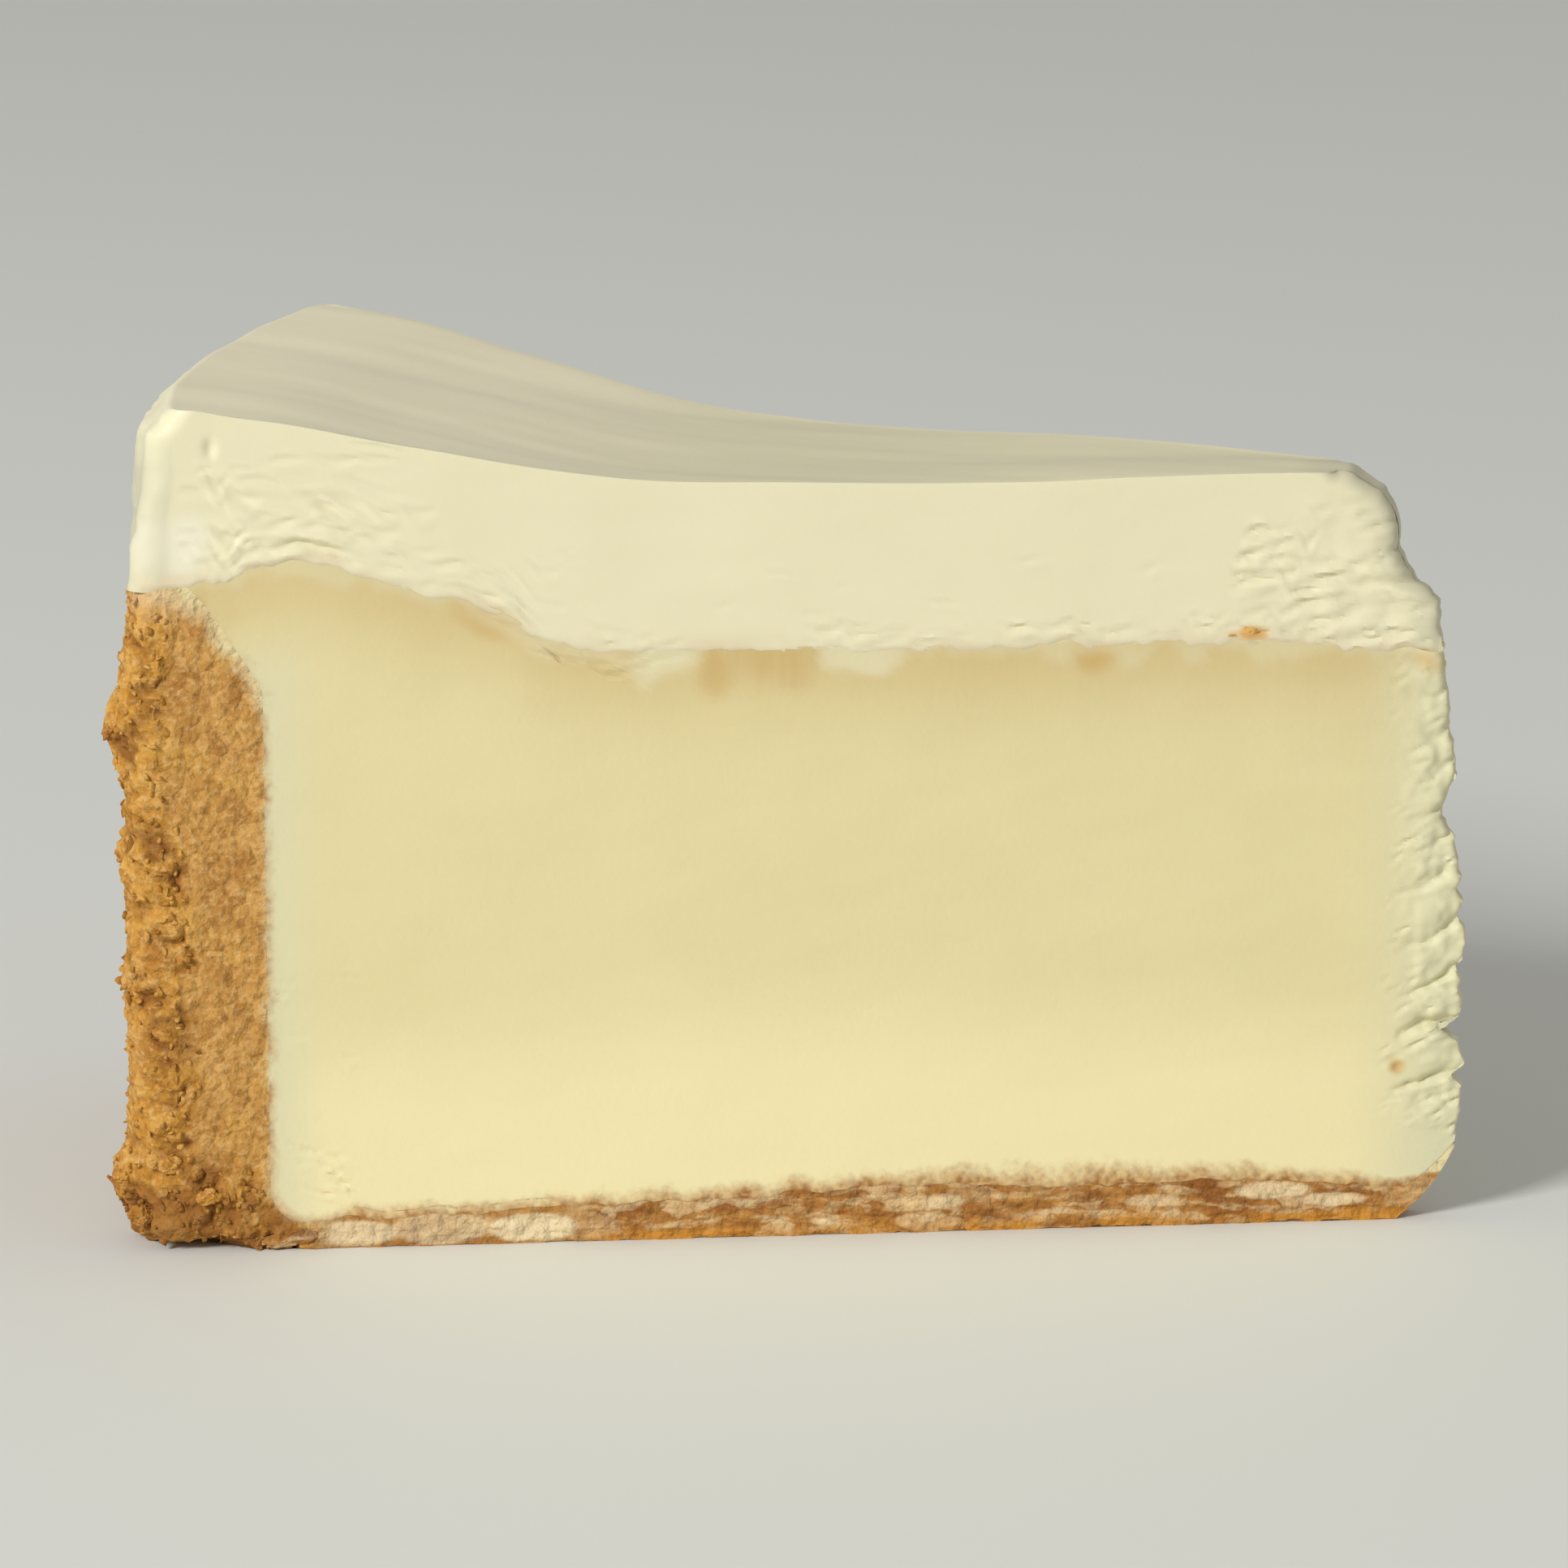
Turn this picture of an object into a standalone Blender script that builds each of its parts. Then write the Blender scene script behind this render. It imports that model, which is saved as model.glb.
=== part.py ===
"""Slice of tall baked cheesecake, one twelfth of a round cake, standing on its crumb base as it was cut.

The whole cake is a turned body, so each layer is a profile of radius and height swept about the cake's
centre line through the slice's angle. Three layers show at the cuts: a crust of pressed biscuit crumbs
(the thin base and the wall in one piece), the baked cheese filling, and the cream topping over it.
The tip points along +X, the nearer cut is on the -Y side, and the slice rests on Z = 0.
"""

import math

import bmesh
import bpy
import numpy as np

MM = 0.001

# The cut
SLICES_PER_CAKE = 12
SLICE_ANGLE = math.tau / SLICES_PER_CAKE
SWEEP_STEPS = 20
LAYER_GAP = 0.3 * MM

# The crumb crust: wall and base
CAKE_RADIUS = 124.2 * MM
WALL_THICKNESS = 13.0 * MM
WALL_HEIGHT = 62.0 * MM
WALL_TOP_RADIUS = 122.7 * MM
WALL_TAPER_START = 52.2 * MM
WALL_TAPER_POWER = 1.35
WALL_TOP_LAND = 2.4 * MM
WALL_FOOT_HEIGHT = 6.0 * MM
WALL_FOOT_REACH = 2.8 * MM
BOTTOM_EDGE = 1.2 * MM
BASE_TOP = ((5.8, 3.4), (16.0, 4.2), (40.5, 4.6), (57.0, 4.8), (76.0, 3.9), (92.5, 3.3), (108.4, 2.8))

# The worn bottom corner under the tip, where a thin lip of crumbs turns up
TIP_CORNER_START = (7.3 * MM, 0.0)
TIP_CORNER_END = (1.8 * MM, 7.0 * MM)
TIP_CORNER_BULGE = 0.6 * MM
LIP_THICKNESS = 2.0 * MM
LIP_EDGE_THICKNESS = 0.6 * MM
LIP_START = 0.35

# The top of the filling, which stands high at the wall and dips towards the middle, and its tip
FILLING_TOP = ((3.9, 53.8), (9.5, 54.3), (17.0, 54.6), (27.0, 55.2), (43.0, 54.9), (60.0, 55.1), (72.0, 55.4),
               (82.0, 55.6), (85.5, 56.3), (89.0, 58.8), (94.2, 60.3), (99.7, 61.8), (105.0, 63.7),
               (108.0, 64.0), (113.7, 63.0), (119.4, 62.4), (122.5, 62.4))
FILLING_TIP = ((10.4, 1.4), (14.3, 1.6), (17.8, 2.8), (19.6, 1.5), (30.0, 1.5), (38.3, 3.2), (43.7, 2.5),
               (50.0, 3.3))

# The top of the topping, a shallow dish with a high rim, and its tip and outer side
TOPPING_TOP = ((14.4, 70.6), (30.5, 70.6), (61.5, 70.4), (78.5, 71.0), (98.0, 74.5), (109.6, 76.9),
               (119.4, 78.0))
TOPPING_TIP = ((58.3, 4.2), (61.5, 7.0), (65.0, 8.2), (68.4, 10.4), (70.1, 12.6))
TOPPING_FOOT_RADIUS = 123.0 * MM
SHOULDER_RADIUS = 122.0 * MM
SHOULDER_HEIGHT = 74.9 * MM

# Unevenness: rim corners broken by the knife, a slightly wavy wall, and two crumbs that stand proud
NEAR_CORNER_ROUNDING = (4.4 * MM, 2.6 * MM)
FAR_CORNER_ROUNDING = (1.6 * MM, 1.6 * MM)
CORNER_BLEND = (112.0 * MM, 121.5 * MM)
WALL_WAVE = 0.45 * MM
TOP_WAVE = 0.25 * MM
PROUD_CRUMBS = ((-13.4, 48.2, 1.2), (-13.2, 6.4, 2.0), (4.0, 24.0, 1.2))
PROUD_CRUMB_SPREAD = 3.2 * MM


def start_clean():
    """Removes whatever the scene holds, so that only the slice is left in it."""
    for old in list(bpy.data.objects):
        bpy.data.objects.remove(old, do_unlink=True)


def food_material(name, colour, roughness):
    """A plain dielectric finish in the layer's colour."""
    material = bpy.data.materials.new(name)
    material.use_nodes = True
    shader = material.node_tree.nodes["Principled BSDF"]
    shader.inputs["Base Color"].default_value = (*colour, 1.0)
    shader.inputs["Roughness"].default_value = roughness
    shader.inputs["Metallic"].default_value = 0.0
    material.diffuse_color = (*colour, 1.0)
    return material


def in_metres(stations):
    return [(first * MM, second * MM) for first, second in stations]


def curve_through(stations):
    """A smooth function through a few stations given as pairs of millimetres."""
    places, values = np.array(in_metres(stations)).T
    slopes = np.gradient(values, places)

    def value_at(place):
        last_span = len(places) - 2
        span = int(np.clip(np.searchsorted(places, place) - 1, 0, last_span))
        width = places[span + 1] - places[span]
        t = (place - places[span]) / width
        start = (1 + 2 * t) * (1 - t) ** 2 * values[span] + t * (1 - t) ** 2 * width * slopes[span]
        end = t * t * (3 - 2 * t) * values[span + 1] + t * t * (t - 1) * width * slopes[span + 1]
        return float(start + end)

    return value_at


base_top = curve_through(BASE_TOP)
filling_top = curve_through(FILLING_TOP)
topping_top = curve_through(TOPPING_TOP)


def wall_inner_radius(height):
    """The wall is even up to the taper, then leans out until it ends under the rim of the topping."""
    inner = CAKE_RADIUS - WALL_THICKNESS
    if height < WALL_TAPER_START:
        return inner
    rise = (height - WALL_TAPER_START) / (WALL_HEIGHT - WALL_TAPER_START)
    return inner + (WALL_TOP_RADIUS - WALL_TOP_LAND - inner) * rise ** WALL_TAPER_POWER


def wall_foot(gap):
    """The round inner corner between wall and base, from the wall down to the base."""
    inner = CAKE_RADIUS - WALL_THICKNESS - gap
    low = base_top(inner - WALL_FOOT_REACH) + gap
    high = WALL_FOOT_HEIGHT + gap
    points = []
    for turn in np.linspace(0.0, math.pi / 2, 5):
        radius = inner - WALL_FOOT_REACH * (1 - math.cos(turn))
        points.append((radius, high - (high - low) * math.sin(turn)))
    return points


def wall_inner_side(gap, top):
    """The wall's inner face from the given height down to the foot; a gap moves it inwards and up."""
    taper = np.linspace(top, WALL_TAPER_START, 8)
    upright = np.linspace(WALL_TAPER_START, WALL_FOOT_HEIGHT, 5)[1:-1]
    heights = [float(height) for height in (*taper, *upright)]
    return [(wall_inner_radius(height) - gap, height + gap) for height in heights]


def tip_corner(t, inset):
    """A point on the worn corner under the tip, t running up it, moved inwards by the inset."""
    start_radius, start_height = TIP_CORNER_START
    end_radius, end_height = TIP_CORNER_END
    length = math.hypot(end_radius - start_radius, end_height - start_height)
    inward_radius = (end_height - start_height) / length
    inward_height = (start_radius - end_radius) / length
    depth = inset - TIP_CORNER_BULGE * 4 * t * (1 - t)
    radius = start_radius + (end_radius - start_radius) * t + inward_radius * depth
    height = start_height + (end_height - start_height) * t + inward_height * depth
    return radius, height


def lip_inner_side(gap):
    """The upper side of the lip, from the base out to its edge beside the tip."""
    points = []
    for t in np.linspace(LIP_START, 1.0, 5):
        share = (t - LIP_START) / (1 - LIP_START)
        thickness = LIP_THICKNESS + (LIP_EDGE_THICKNESS - LIP_THICKNESS) * share
        points.append(tip_corner(float(t), thickness + gap))
    return points


def base_upper_side(gap):
    """The top of the base from the foot of the wall towards the tip."""
    outer = CAKE_RADIUS - WALL_THICKNESS - WALL_FOOT_REACH - gap
    radii = np.linspace(outer, lip_inner_side(gap)[0][0], 15)[1:-1]
    return [(float(radius), base_top(float(radius)) + gap) for radius in radii]


def crust_profile():
    """Runs out along the bottom, up the outer side, and back down inside and along the base."""
    profile = [tip_corner(float(t), 0.0) for t in np.linspace(1.0, 0.0, 6)]
    profile += [(float(radius), 0.0) for radius in np.linspace(30 * MM, 105 * MM, 4)]
    profile.append((CAKE_RADIUS - BOTTOM_EDGE, 0.0))
    profile += [(CAKE_RADIUS, float(height)) for height in np.linspace(BOTTOM_EDGE, WALL_TAPER_START, 11)]
    profile.append(((CAKE_RADIUS + WALL_TOP_RADIUS) / 2, (WALL_TAPER_START + WALL_HEIGHT) / 2))
    profile.append((WALL_TOP_RADIUS, WALL_HEIGHT))
    profile += wall_inner_side(0.0, WALL_HEIGHT)
    profile += wall_foot(0.0)
    profile += base_upper_side(0.0)
    profile += lip_inner_side(0.0)
    return profile


def filling_profile():
    """Runs up the tip, out over the top and back inside the crust."""
    profile = [(radius, height) for height, radius in in_metres(FILLING_TIP)]
    inner = FILLING_TOP[0][0] * MM
    rim = wall_inner_radius(WALL_HEIGHT) - LAYER_GAP
    profile += [(float(radius), filling_top(float(radius))) for radius in np.linspace(inner, rim, 24)]
    profile += wall_inner_side(LAYER_GAP, WALL_HEIGHT)
    profile += wall_foot(LAYER_GAP)
    profile += base_upper_side(LAYER_GAP)
    profile += lip_inner_side(LAYER_GAP)
    return profile


def topping_profile():
    """Runs up the worn tip, out over the dished top, round the shoulder and back over the filling."""
    profile = [(radius, height) for height, radius in in_metres(TOPPING_TIP)]
    inner = TOPPING_TOP[0][0] * MM
    crown = TOPPING_TOP[-1][0] * MM
    profile += [(float(radius), topping_top(float(radius))) for radius in np.linspace(inner, crown, 20)]
    crown_height = topping_top(crown)
    for turn in np.linspace(0.0, math.pi / 2, 5)[1:]:
        radius = crown + (SHOULDER_RADIUS - crown) * math.sin(turn)
        profile.append((radius, SHOULDER_HEIGHT + (crown_height - SHOULDER_HEIGHT) * math.cos(turn)))
    foot_height = WALL_HEIGHT + LAYER_GAP
    for share in (0.5, 1.0):
        radius = SHOULDER_RADIUS + (TOPPING_FOOT_RADIUS - SHOULDER_RADIUS) * share
        profile.append((radius, SHOULDER_HEIGHT + (foot_height - SHOULDER_HEIGHT) * share))
    profile.append((wall_inner_radius(WALL_HEIGHT), foot_height))
    rim = wall_inner_radius(WALL_HEIGHT) - LAYER_GAP
    radii = np.linspace(rim, FILLING_TOP[0][0] * MM, 24)
    profile += [(float(radius), filling_top(float(radius)) + LAYER_GAP) for radius in radii]
    return profile


def rim_share(radius):
    """0 inside the slice and 1 at its rim, with a smooth change between."""
    inner, outer = CORNER_BLEND
    t = min(max((radius - inner) / (outer - inner), 0.0), 1.0)
    return t * t * (3 - 2 * t)


def corner_pull(angle, height):
    """How far the rim is worn back at a rim corner: a quarter round seen from above."""
    at_base, at_top = NEAR_CORNER_ROUNDING if angle < 0 else FAR_CORNER_ROUNDING
    rounding = at_base + (at_top - at_base) * height / SHOULDER_HEIGHT
    from_cut = CAKE_RADIUS * (SLICE_ANGLE / 2 - abs(angle))
    if from_cut >= rounding:
        return 0.0
    across = rounding - max(from_cut, 0.0)
    return rounding - math.sqrt(rounding ** 2 - across ** 2)


def wall_swell(angle, height):
    """The slow waves of a hand-pressed wall."""
    around = math.sin(angle * 31.0 + 0.7) + 0.6 * math.sin(angle * 57.0 + height * 160.0)
    return WALL_WAVE * around * math.cos(height * 95.0 + 0.4)


def proud_crumbs(angle, height):
    """Clumps of crumb that stand out of the wall, each given as degrees, height and rise."""
    rise = 0.0
    for crumb_degrees, crumb_height, crumb_rise in PROUD_CRUMBS:
        along = (angle - math.radians(crumb_degrees)) * CAKE_RADIUS
        upward = height - crumb_height * MM
        distance = math.hypot(along, upward) / PROUD_CRUMB_SPREAD
        rise += crumb_rise * MM * math.exp(-distance * distance)
    return rise


def make_uneven(mesh):
    """Moves every point by the same rule in all three layers, so that they still fit one another."""
    outer_face = CAKE_RADIUS - 0.5 * MM
    for vertex in mesh.verts:
        radius = math.hypot(vertex.co.x, vertex.co.y)
        angle = math.atan2(vertex.co.y, -vertex.co.x)
        height = vertex.co.z
        share = rim_share(radius)
        moved = radius + share * (wall_swell(angle, height) - corner_pull(angle, height))
        if radius > outer_face:
            moved += proud_crumbs(angle, height)
        if height > SHOULDER_HEIGHT - 4 * MM:
            vertex.co.z += TOP_WAVE * math.sin(radius * 90.0 + angle * 6.0) * math.cos(angle * 9.0)
        vertex.co.x *= moved / radius
        vertex.co.y *= moved / radius


def swept_layer(name, profile, material):
    """One layer: the profile stands in the cut on the -Y side and is spun about Z to the other cut."""
    half = SLICE_ANGLE / 2
    mesh = bmesh.new()
    loop = [mesh.verts.new((-r * math.cos(half), -r * math.sin(half), z)) for r, z in profile]
    edges = [mesh.edges.new((loop[i - 1], loop[i])) for i in range(len(loop))]
    swept = bmesh.ops.spin(mesh, geom=loop + edges, cent=(0, 0, 0), axis=(0, 0, 1), angle=-SLICE_ANGLE,
                           steps=SWEEP_STEPS, use_duplicate=False)
    end_edges = [item for item in swept["geom_last"] if isinstance(item, bmesh.types.BMEdge)]
    cuts = bmesh.ops.edgeloop_fill(mesh, edges=edges)["faces"]
    cuts += bmesh.ops.edgeloop_fill(mesh, edges=end_edges)["faces"]
    bmesh.ops.recalc_face_normals(mesh, faces=mesh.faces)
    make_uneven(mesh)
    bmesh.ops.triangulate(mesh, faces=mesh.faces, quad_method="BEAUTY", ngon_method="EAR_CLIP")
    data = bpy.data.meshes.new(name)
    mesh.to_mesh(data)
    mesh.free()
    data.materials.append(material)
    data.shade_smooth()
    data.set_sharp_from_angle(angle=math.radians(40))
    layer = bpy.data.objects.new(name, data)
    bpy.context.scene.collection.objects.link(layer)
    return layer


def centre_over_origin(layers):
    """Puts the origin under the middle of the slice, at the height of the base."""
    points = np.array([vertex.co for layer in layers for vertex in layer.data.vertices])
    low = points.min(axis=0)
    middle = (low + points.max(axis=0)) / 2
    for layer in layers:
        for vertex in layer.data.vertices:
            vertex.co.x -= middle[0]
            vertex.co.y -= middle[1]
            vertex.co.z -= low[2]


def build_slice():
    start_clean()
    crumb = food_material("baked_biscuit_crumb", (0.48, 0.25, 0.07), 0.85)
    cheese = food_material("baked_cheese", (0.75, 0.66, 0.37), 0.5)
    cream = food_material("set_cream", (0.78, 0.74, 0.52), 0.45)
    layers = [
        swept_layer("crumb_crust", crust_profile(), crumb),
        swept_layer("cheese_filling", filling_profile(), cheese),
        swept_layer("cream_topping", topping_profile(), cream),
    ]
    centre_over_origin(layers)


build_slice()
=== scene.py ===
import itertools
import math

import bmesh
import bpy
import numpy as np
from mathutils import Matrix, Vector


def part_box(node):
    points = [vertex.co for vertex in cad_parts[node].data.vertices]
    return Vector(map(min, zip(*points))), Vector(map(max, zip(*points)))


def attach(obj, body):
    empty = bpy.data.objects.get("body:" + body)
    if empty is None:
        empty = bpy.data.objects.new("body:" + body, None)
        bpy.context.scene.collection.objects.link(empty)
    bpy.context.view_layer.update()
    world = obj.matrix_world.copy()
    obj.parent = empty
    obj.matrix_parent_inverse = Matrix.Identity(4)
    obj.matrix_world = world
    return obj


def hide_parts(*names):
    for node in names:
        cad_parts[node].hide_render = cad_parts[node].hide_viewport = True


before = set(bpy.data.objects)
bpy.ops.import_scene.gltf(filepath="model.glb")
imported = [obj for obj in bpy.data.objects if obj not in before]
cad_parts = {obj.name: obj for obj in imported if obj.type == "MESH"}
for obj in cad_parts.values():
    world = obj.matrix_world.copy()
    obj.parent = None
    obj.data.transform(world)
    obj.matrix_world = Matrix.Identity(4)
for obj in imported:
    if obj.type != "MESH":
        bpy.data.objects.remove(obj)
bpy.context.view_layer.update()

# Slice of a tall baked cheesecake, one twelfth of a round cake, standing on its base as the knife left it.
# From the base up: a crust of pressed biscuit crumbs, the baked cheese, and a layer of set sour cream.
# Each layer is a section of radius and height in millimetres, swept about the cake's centre line.


# ----------------------------------------
# The crumb crust. Crushed biscuit bound with butter, pressed by hand into the tin as a thin base and a
# wall, then baked. Its outside is loose and golden; the knife left the cut faces duller and finer.

METRES = 0.001
SLICE_ANGLE = math.tau / 12
HALF_ANGLE = SLICE_ANGLE / 2
TIP_BLUNTNESS = 1.4
AXIS_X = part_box("cheese_filling")[1].x / METRES + TIP_BLUNTNESS * math.cos(HALF_ANGLE)

CAKE_RADIUS = 124.2
WALL_INSIDE = 111.2
WALL_TOP = (122.7, 62.0)
WALL_TOP_LAND = 2.4
WALL_START = (105.0, 109.0)
TAPER_FOOT = 52.2
TAPER_POWER = 1.35
LAYER_OVERLAP = 0.7
NEAR_CORNER_WEAR = (4.4, 2.4)
FAR_CORNER_WEAR = (1.6, 1.1)
WEAR_SPAN = (28.0, 59.0)
RIM_BLEND = (112.0, 121.5)
PROUD_CRUMBS = ((-13.4, 48.2, 1.2), (-13.2, 6.4, 2.0), (4.0, 24.0, 1.2))
PROUD_SPREAD = 3.0


def curve_through(stations):
    """A smooth function through a few stations, each a place and its value."""
    places, values = np.array(stations, float).T
    slopes = np.gradient(values, places)

    def value_at(place):
        place = np.asarray(place, float)
        span = np.clip(np.searchsorted(places, place) - 1, 0, len(places) - 2)
        width = places[span + 1] - places[span]
        t = (place - places[span]) / width
        start = (1 + 2 * t) * (1 - t) ** 2 * values[span] + t * (1 - t) ** 2 * width * slopes[span]
        end = t * t * (3 - 2 * t) * values[span + 1] + t * t * (t - 1) * width * slopes[span + 1]
        return start + end

    return value_at


def fade(value, start, end):
    """0 at start and 1 at end with a smooth change between; start may be the larger."""
    t = np.clip((value - start) / (end - start), 0.0, 1.0)
    return t * t * (3 - 2 * t)


def bell(offset, width):
    """1 where the offset is 0, dying away over about the width."""
    return np.exp(-(offset / width) ** 2)


def pairs(first, second):
    """Points from two rows of numbers."""
    return np.stack([first, second], axis=1)


def wander(places, size, seed=0):
    """Smooth random values from -1 to 1 that change over about the given size; one row for each point."""
    places = np.asarray(places, float) / size + 31.7 * seed
    cell = np.floor(places).astype(np.int64)
    part = places - cell
    part = part * part * (3 - 2 * part)
    primes = np.array([73856093, 19349663, 83492791][:places.shape[1]])
    total = np.zeros(len(places))
    for corner in itertools.product((0, 1), repeat=places.shape[1]):
        share = np.prod(np.where(corner, part, 1 - part), axis=1)
        key = (cell + corner) @ primes + 912931 * seed
        key = ((key ^ (key >> 13)) * 1274126177) & 0x7FFFFFFF
        key = ((key ^ (key >> 15)) * 668265263) & 0x7FFFFFFF
        total += share * ((key % 65536) / 32767.5 - 1)
    return total


def waves(places, *layers):
    """A sum of such values; each layer is its strength, size and seed."""
    return sum(strength * wander(places, size, seed) for strength, size, seed in layers)


def walk(outline, count):
    """The outline walked in equal steps: count points from its start to its end."""
    outline = np.asarray(outline, float)
    walked = np.concatenate(([0.0], np.cumsum(np.hypot(*np.diff(outline, axis=0).T))))
    places = np.linspace(0, walked[-1], count)
    return pairs(*(np.interp(places, walked, outline[:, axis]) for axis in (0, 1)))


def gap_to(places, route):
    """Distance of each point from a line of straight steps, how far along it that is, and if it lies left."""
    route = np.asarray(route, float)
    steps = np.diff(route, axis=0)
    lengths = np.maximum(np.hypot(*steps.T), 1e-6)
    away, along, left = np.full(len(places), 1e6), np.zeros(len(places)), np.zeros(len(places), bool)
    for start, step, length, before in zip(route, steps, lengths, np.cumsum(lengths) - lengths):
        t = np.clip((places - start) @ step / length ** 2, 0, 1)
        offset = places - start - t[:, None] * step
        distance = np.hypot(*offset.T)
        nearer = distance < away
        away = np.where(nearer, distance, away)
        along = np.where(nearer, (before + t * length) / lengths.sum(), along)
        left = np.where(nearer, step[0] * offset[:, 1] > step[1] * offset[:, 0], left)
    return away, along, left


def sheet_faces(sheet, row_step=1, column_step=1):
    """Faces over a grid of point numbers. A hidden sheet takes long steps, except beside the cuts."""
    if row_step == column_step == 1:
        corners = (sheet[:-1, :-1], sheet[1:, :-1], sheet[1:, 1:], sheet[:-1, 1:])
        return np.stack(corners, axis=-1).reshape(-1, 4).tolist()
    faces = sheet_faces(sheet[:, :2]) + sheet_faces(sheet[:, -2:])
    sheet = sheet[:, 1:-1]
    rows, columns = sheet.shape
    row_stops = [*range(0, rows - 1, row_step), rows - 1]
    column_stops = [*range(0, columns - 1, column_step), columns - 1]
    for top, bottom in zip(row_stops, row_stops[1:]):
        for left, right in zip(column_stops, column_stops[1:]):
            down = sheet[top:bottom, left] if left == 0 else sheet[top:top + 1, left]
            across = sheet[bottom, left:right] if bottom == rows - 1 else sheet[bottom, left:left + 1]
            up = sheet[bottom:top:-1, right] if right == columns - 1 else sheet[bottom:bottom + 1, right]
            back = sheet[top, right:left:-1] if top == 0 else sheet[top, right:right + 1]
            faces.append(np.concatenate((down, across, up, back)).tolist())
    return faces


def swept_skin(section, angles, hidden):
    """The closed skin of a layer: its section grid swept through the angles.

    hidden gives long steps for sides that other layers cover, each named by axis (0 along, 1 up,
    2 across) and end (0 or -1), with the first and last row that the steps hold for.
    """
    shape = (*section.shape[:2], len(angles))
    number = np.arange(np.prod(shape)).reshape(shape)
    faces = []
    for axis, end in itertools.product((0, 1, 2), (0, -1)):
        sheet = np.take(number, end, axis=axis)
        parts = [entry for entry in hidden if entry[:2] == (axis, end)]
        start = 0
        for _, _, first, last, row_step, column_step in parts:
            faces += sheet_faces(sheet[start:first + 1])
            faces += sheet_faces(sheet[first:last + 1], row_step, column_step)
            start = last
        faces += sheet_faces(sheet[start:])
    used = np.unique(np.concatenate([np.array(face) for face in faces]))
    renumber = np.zeros(number.size, int)
    renumber[used] = np.arange(len(used))
    i, j, k = np.unravel_index(used, shape)
    faces = [renumber[face].tolist() for face in faces]
    return section[i, j, 0], section[i, j, 1], np.asarray(angles)[k], faces


def worn_rim(radius, angle, height):
    """The rim's radius after hand pressing and the knife: slow waves, and broken corners at the cuts."""
    ends = np.where(angle < 0, *np.array((NEAR_CORNER_WEAR, FAR_CORNER_WEAR))[..., None])
    wear = ends[0] + (ends[1] - ends[0]) * fade(height, *WEAR_SPAN)
    from_cut = np.maximum(CAKE_RADIUS * (HALF_ANGLE - np.abs(angle)), 0)
    across = np.maximum(wear - from_cut, 0)
    pull = wear - np.sqrt(wear ** 2 - across ** 2)
    around = np.sin(angle * 31.0 + 0.7) + 0.6 * np.sin(angle * 57.0 + height * 0.16)
    swell = 0.45 * around * np.cos(height * 0.095 + 0.4)
    return radius + fade(radius, *RIM_BLEND) * (swell - pull)


def stand(radius, angle, height):
    """Points in the slice's own place, in millimetres, from radius, angle and height."""
    return np.stack([AXIS_X - radius * np.cos(angle), radius * np.sin(angle), height], axis=1)


def cut_depths(radius, angle):
    """How far each point lies inside the nearer and the farther cut."""
    return radius * (angle + HALF_ANGLE), radius * (HALF_ANGLE - angle)


def push_cuts(points, radius, angle, near_rise, far_rise):
    """Moves the points of each cut face out by its own rise, dying away just inside the face."""
    for depth, rise, side in zip(cut_depths(radius, angle), (near_rise, far_rise), (-1, 1)):
        share = bell(depth, 0.7) * rise
        points[:, 0] += share * math.sin(HALF_ANGLE)
        points[:, 1] += share * math.cos(HALF_ANGLE) * side
    return points


def in_scene(name, data):
    """A new object in the scene."""
    made = bpy.data.objects.new(name, data)
    bpy.context.scene.collection.objects.link(made)
    return made


def mesh_piece(name, points, faces, masks, material):
    """A closed mesh in metres with its masks as point attributes, shaded smooth and facing outwards."""
    data = bpy.data.meshes.new(name)
    data.from_pydata((points * METRES).tolist(), [], faces)
    for mask_name, values in masks.items():
        data.attributes.new(mask_name, "FLOAT", "POINT").data.foreach_set("value", values.astype(np.float32))
    turned = bmesh.new()
    turned.from_mesh(data)
    bmesh.ops.recalc_face_normals(turned, faces=turned.faces)
    turned.to_mesh(data)
    turned.free()
    data.shade_smooth()
    data.set_sharp_from_angle(angle=math.radians(50.0))
    data.materials.append(material)
    return in_scene(name, data)


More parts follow.
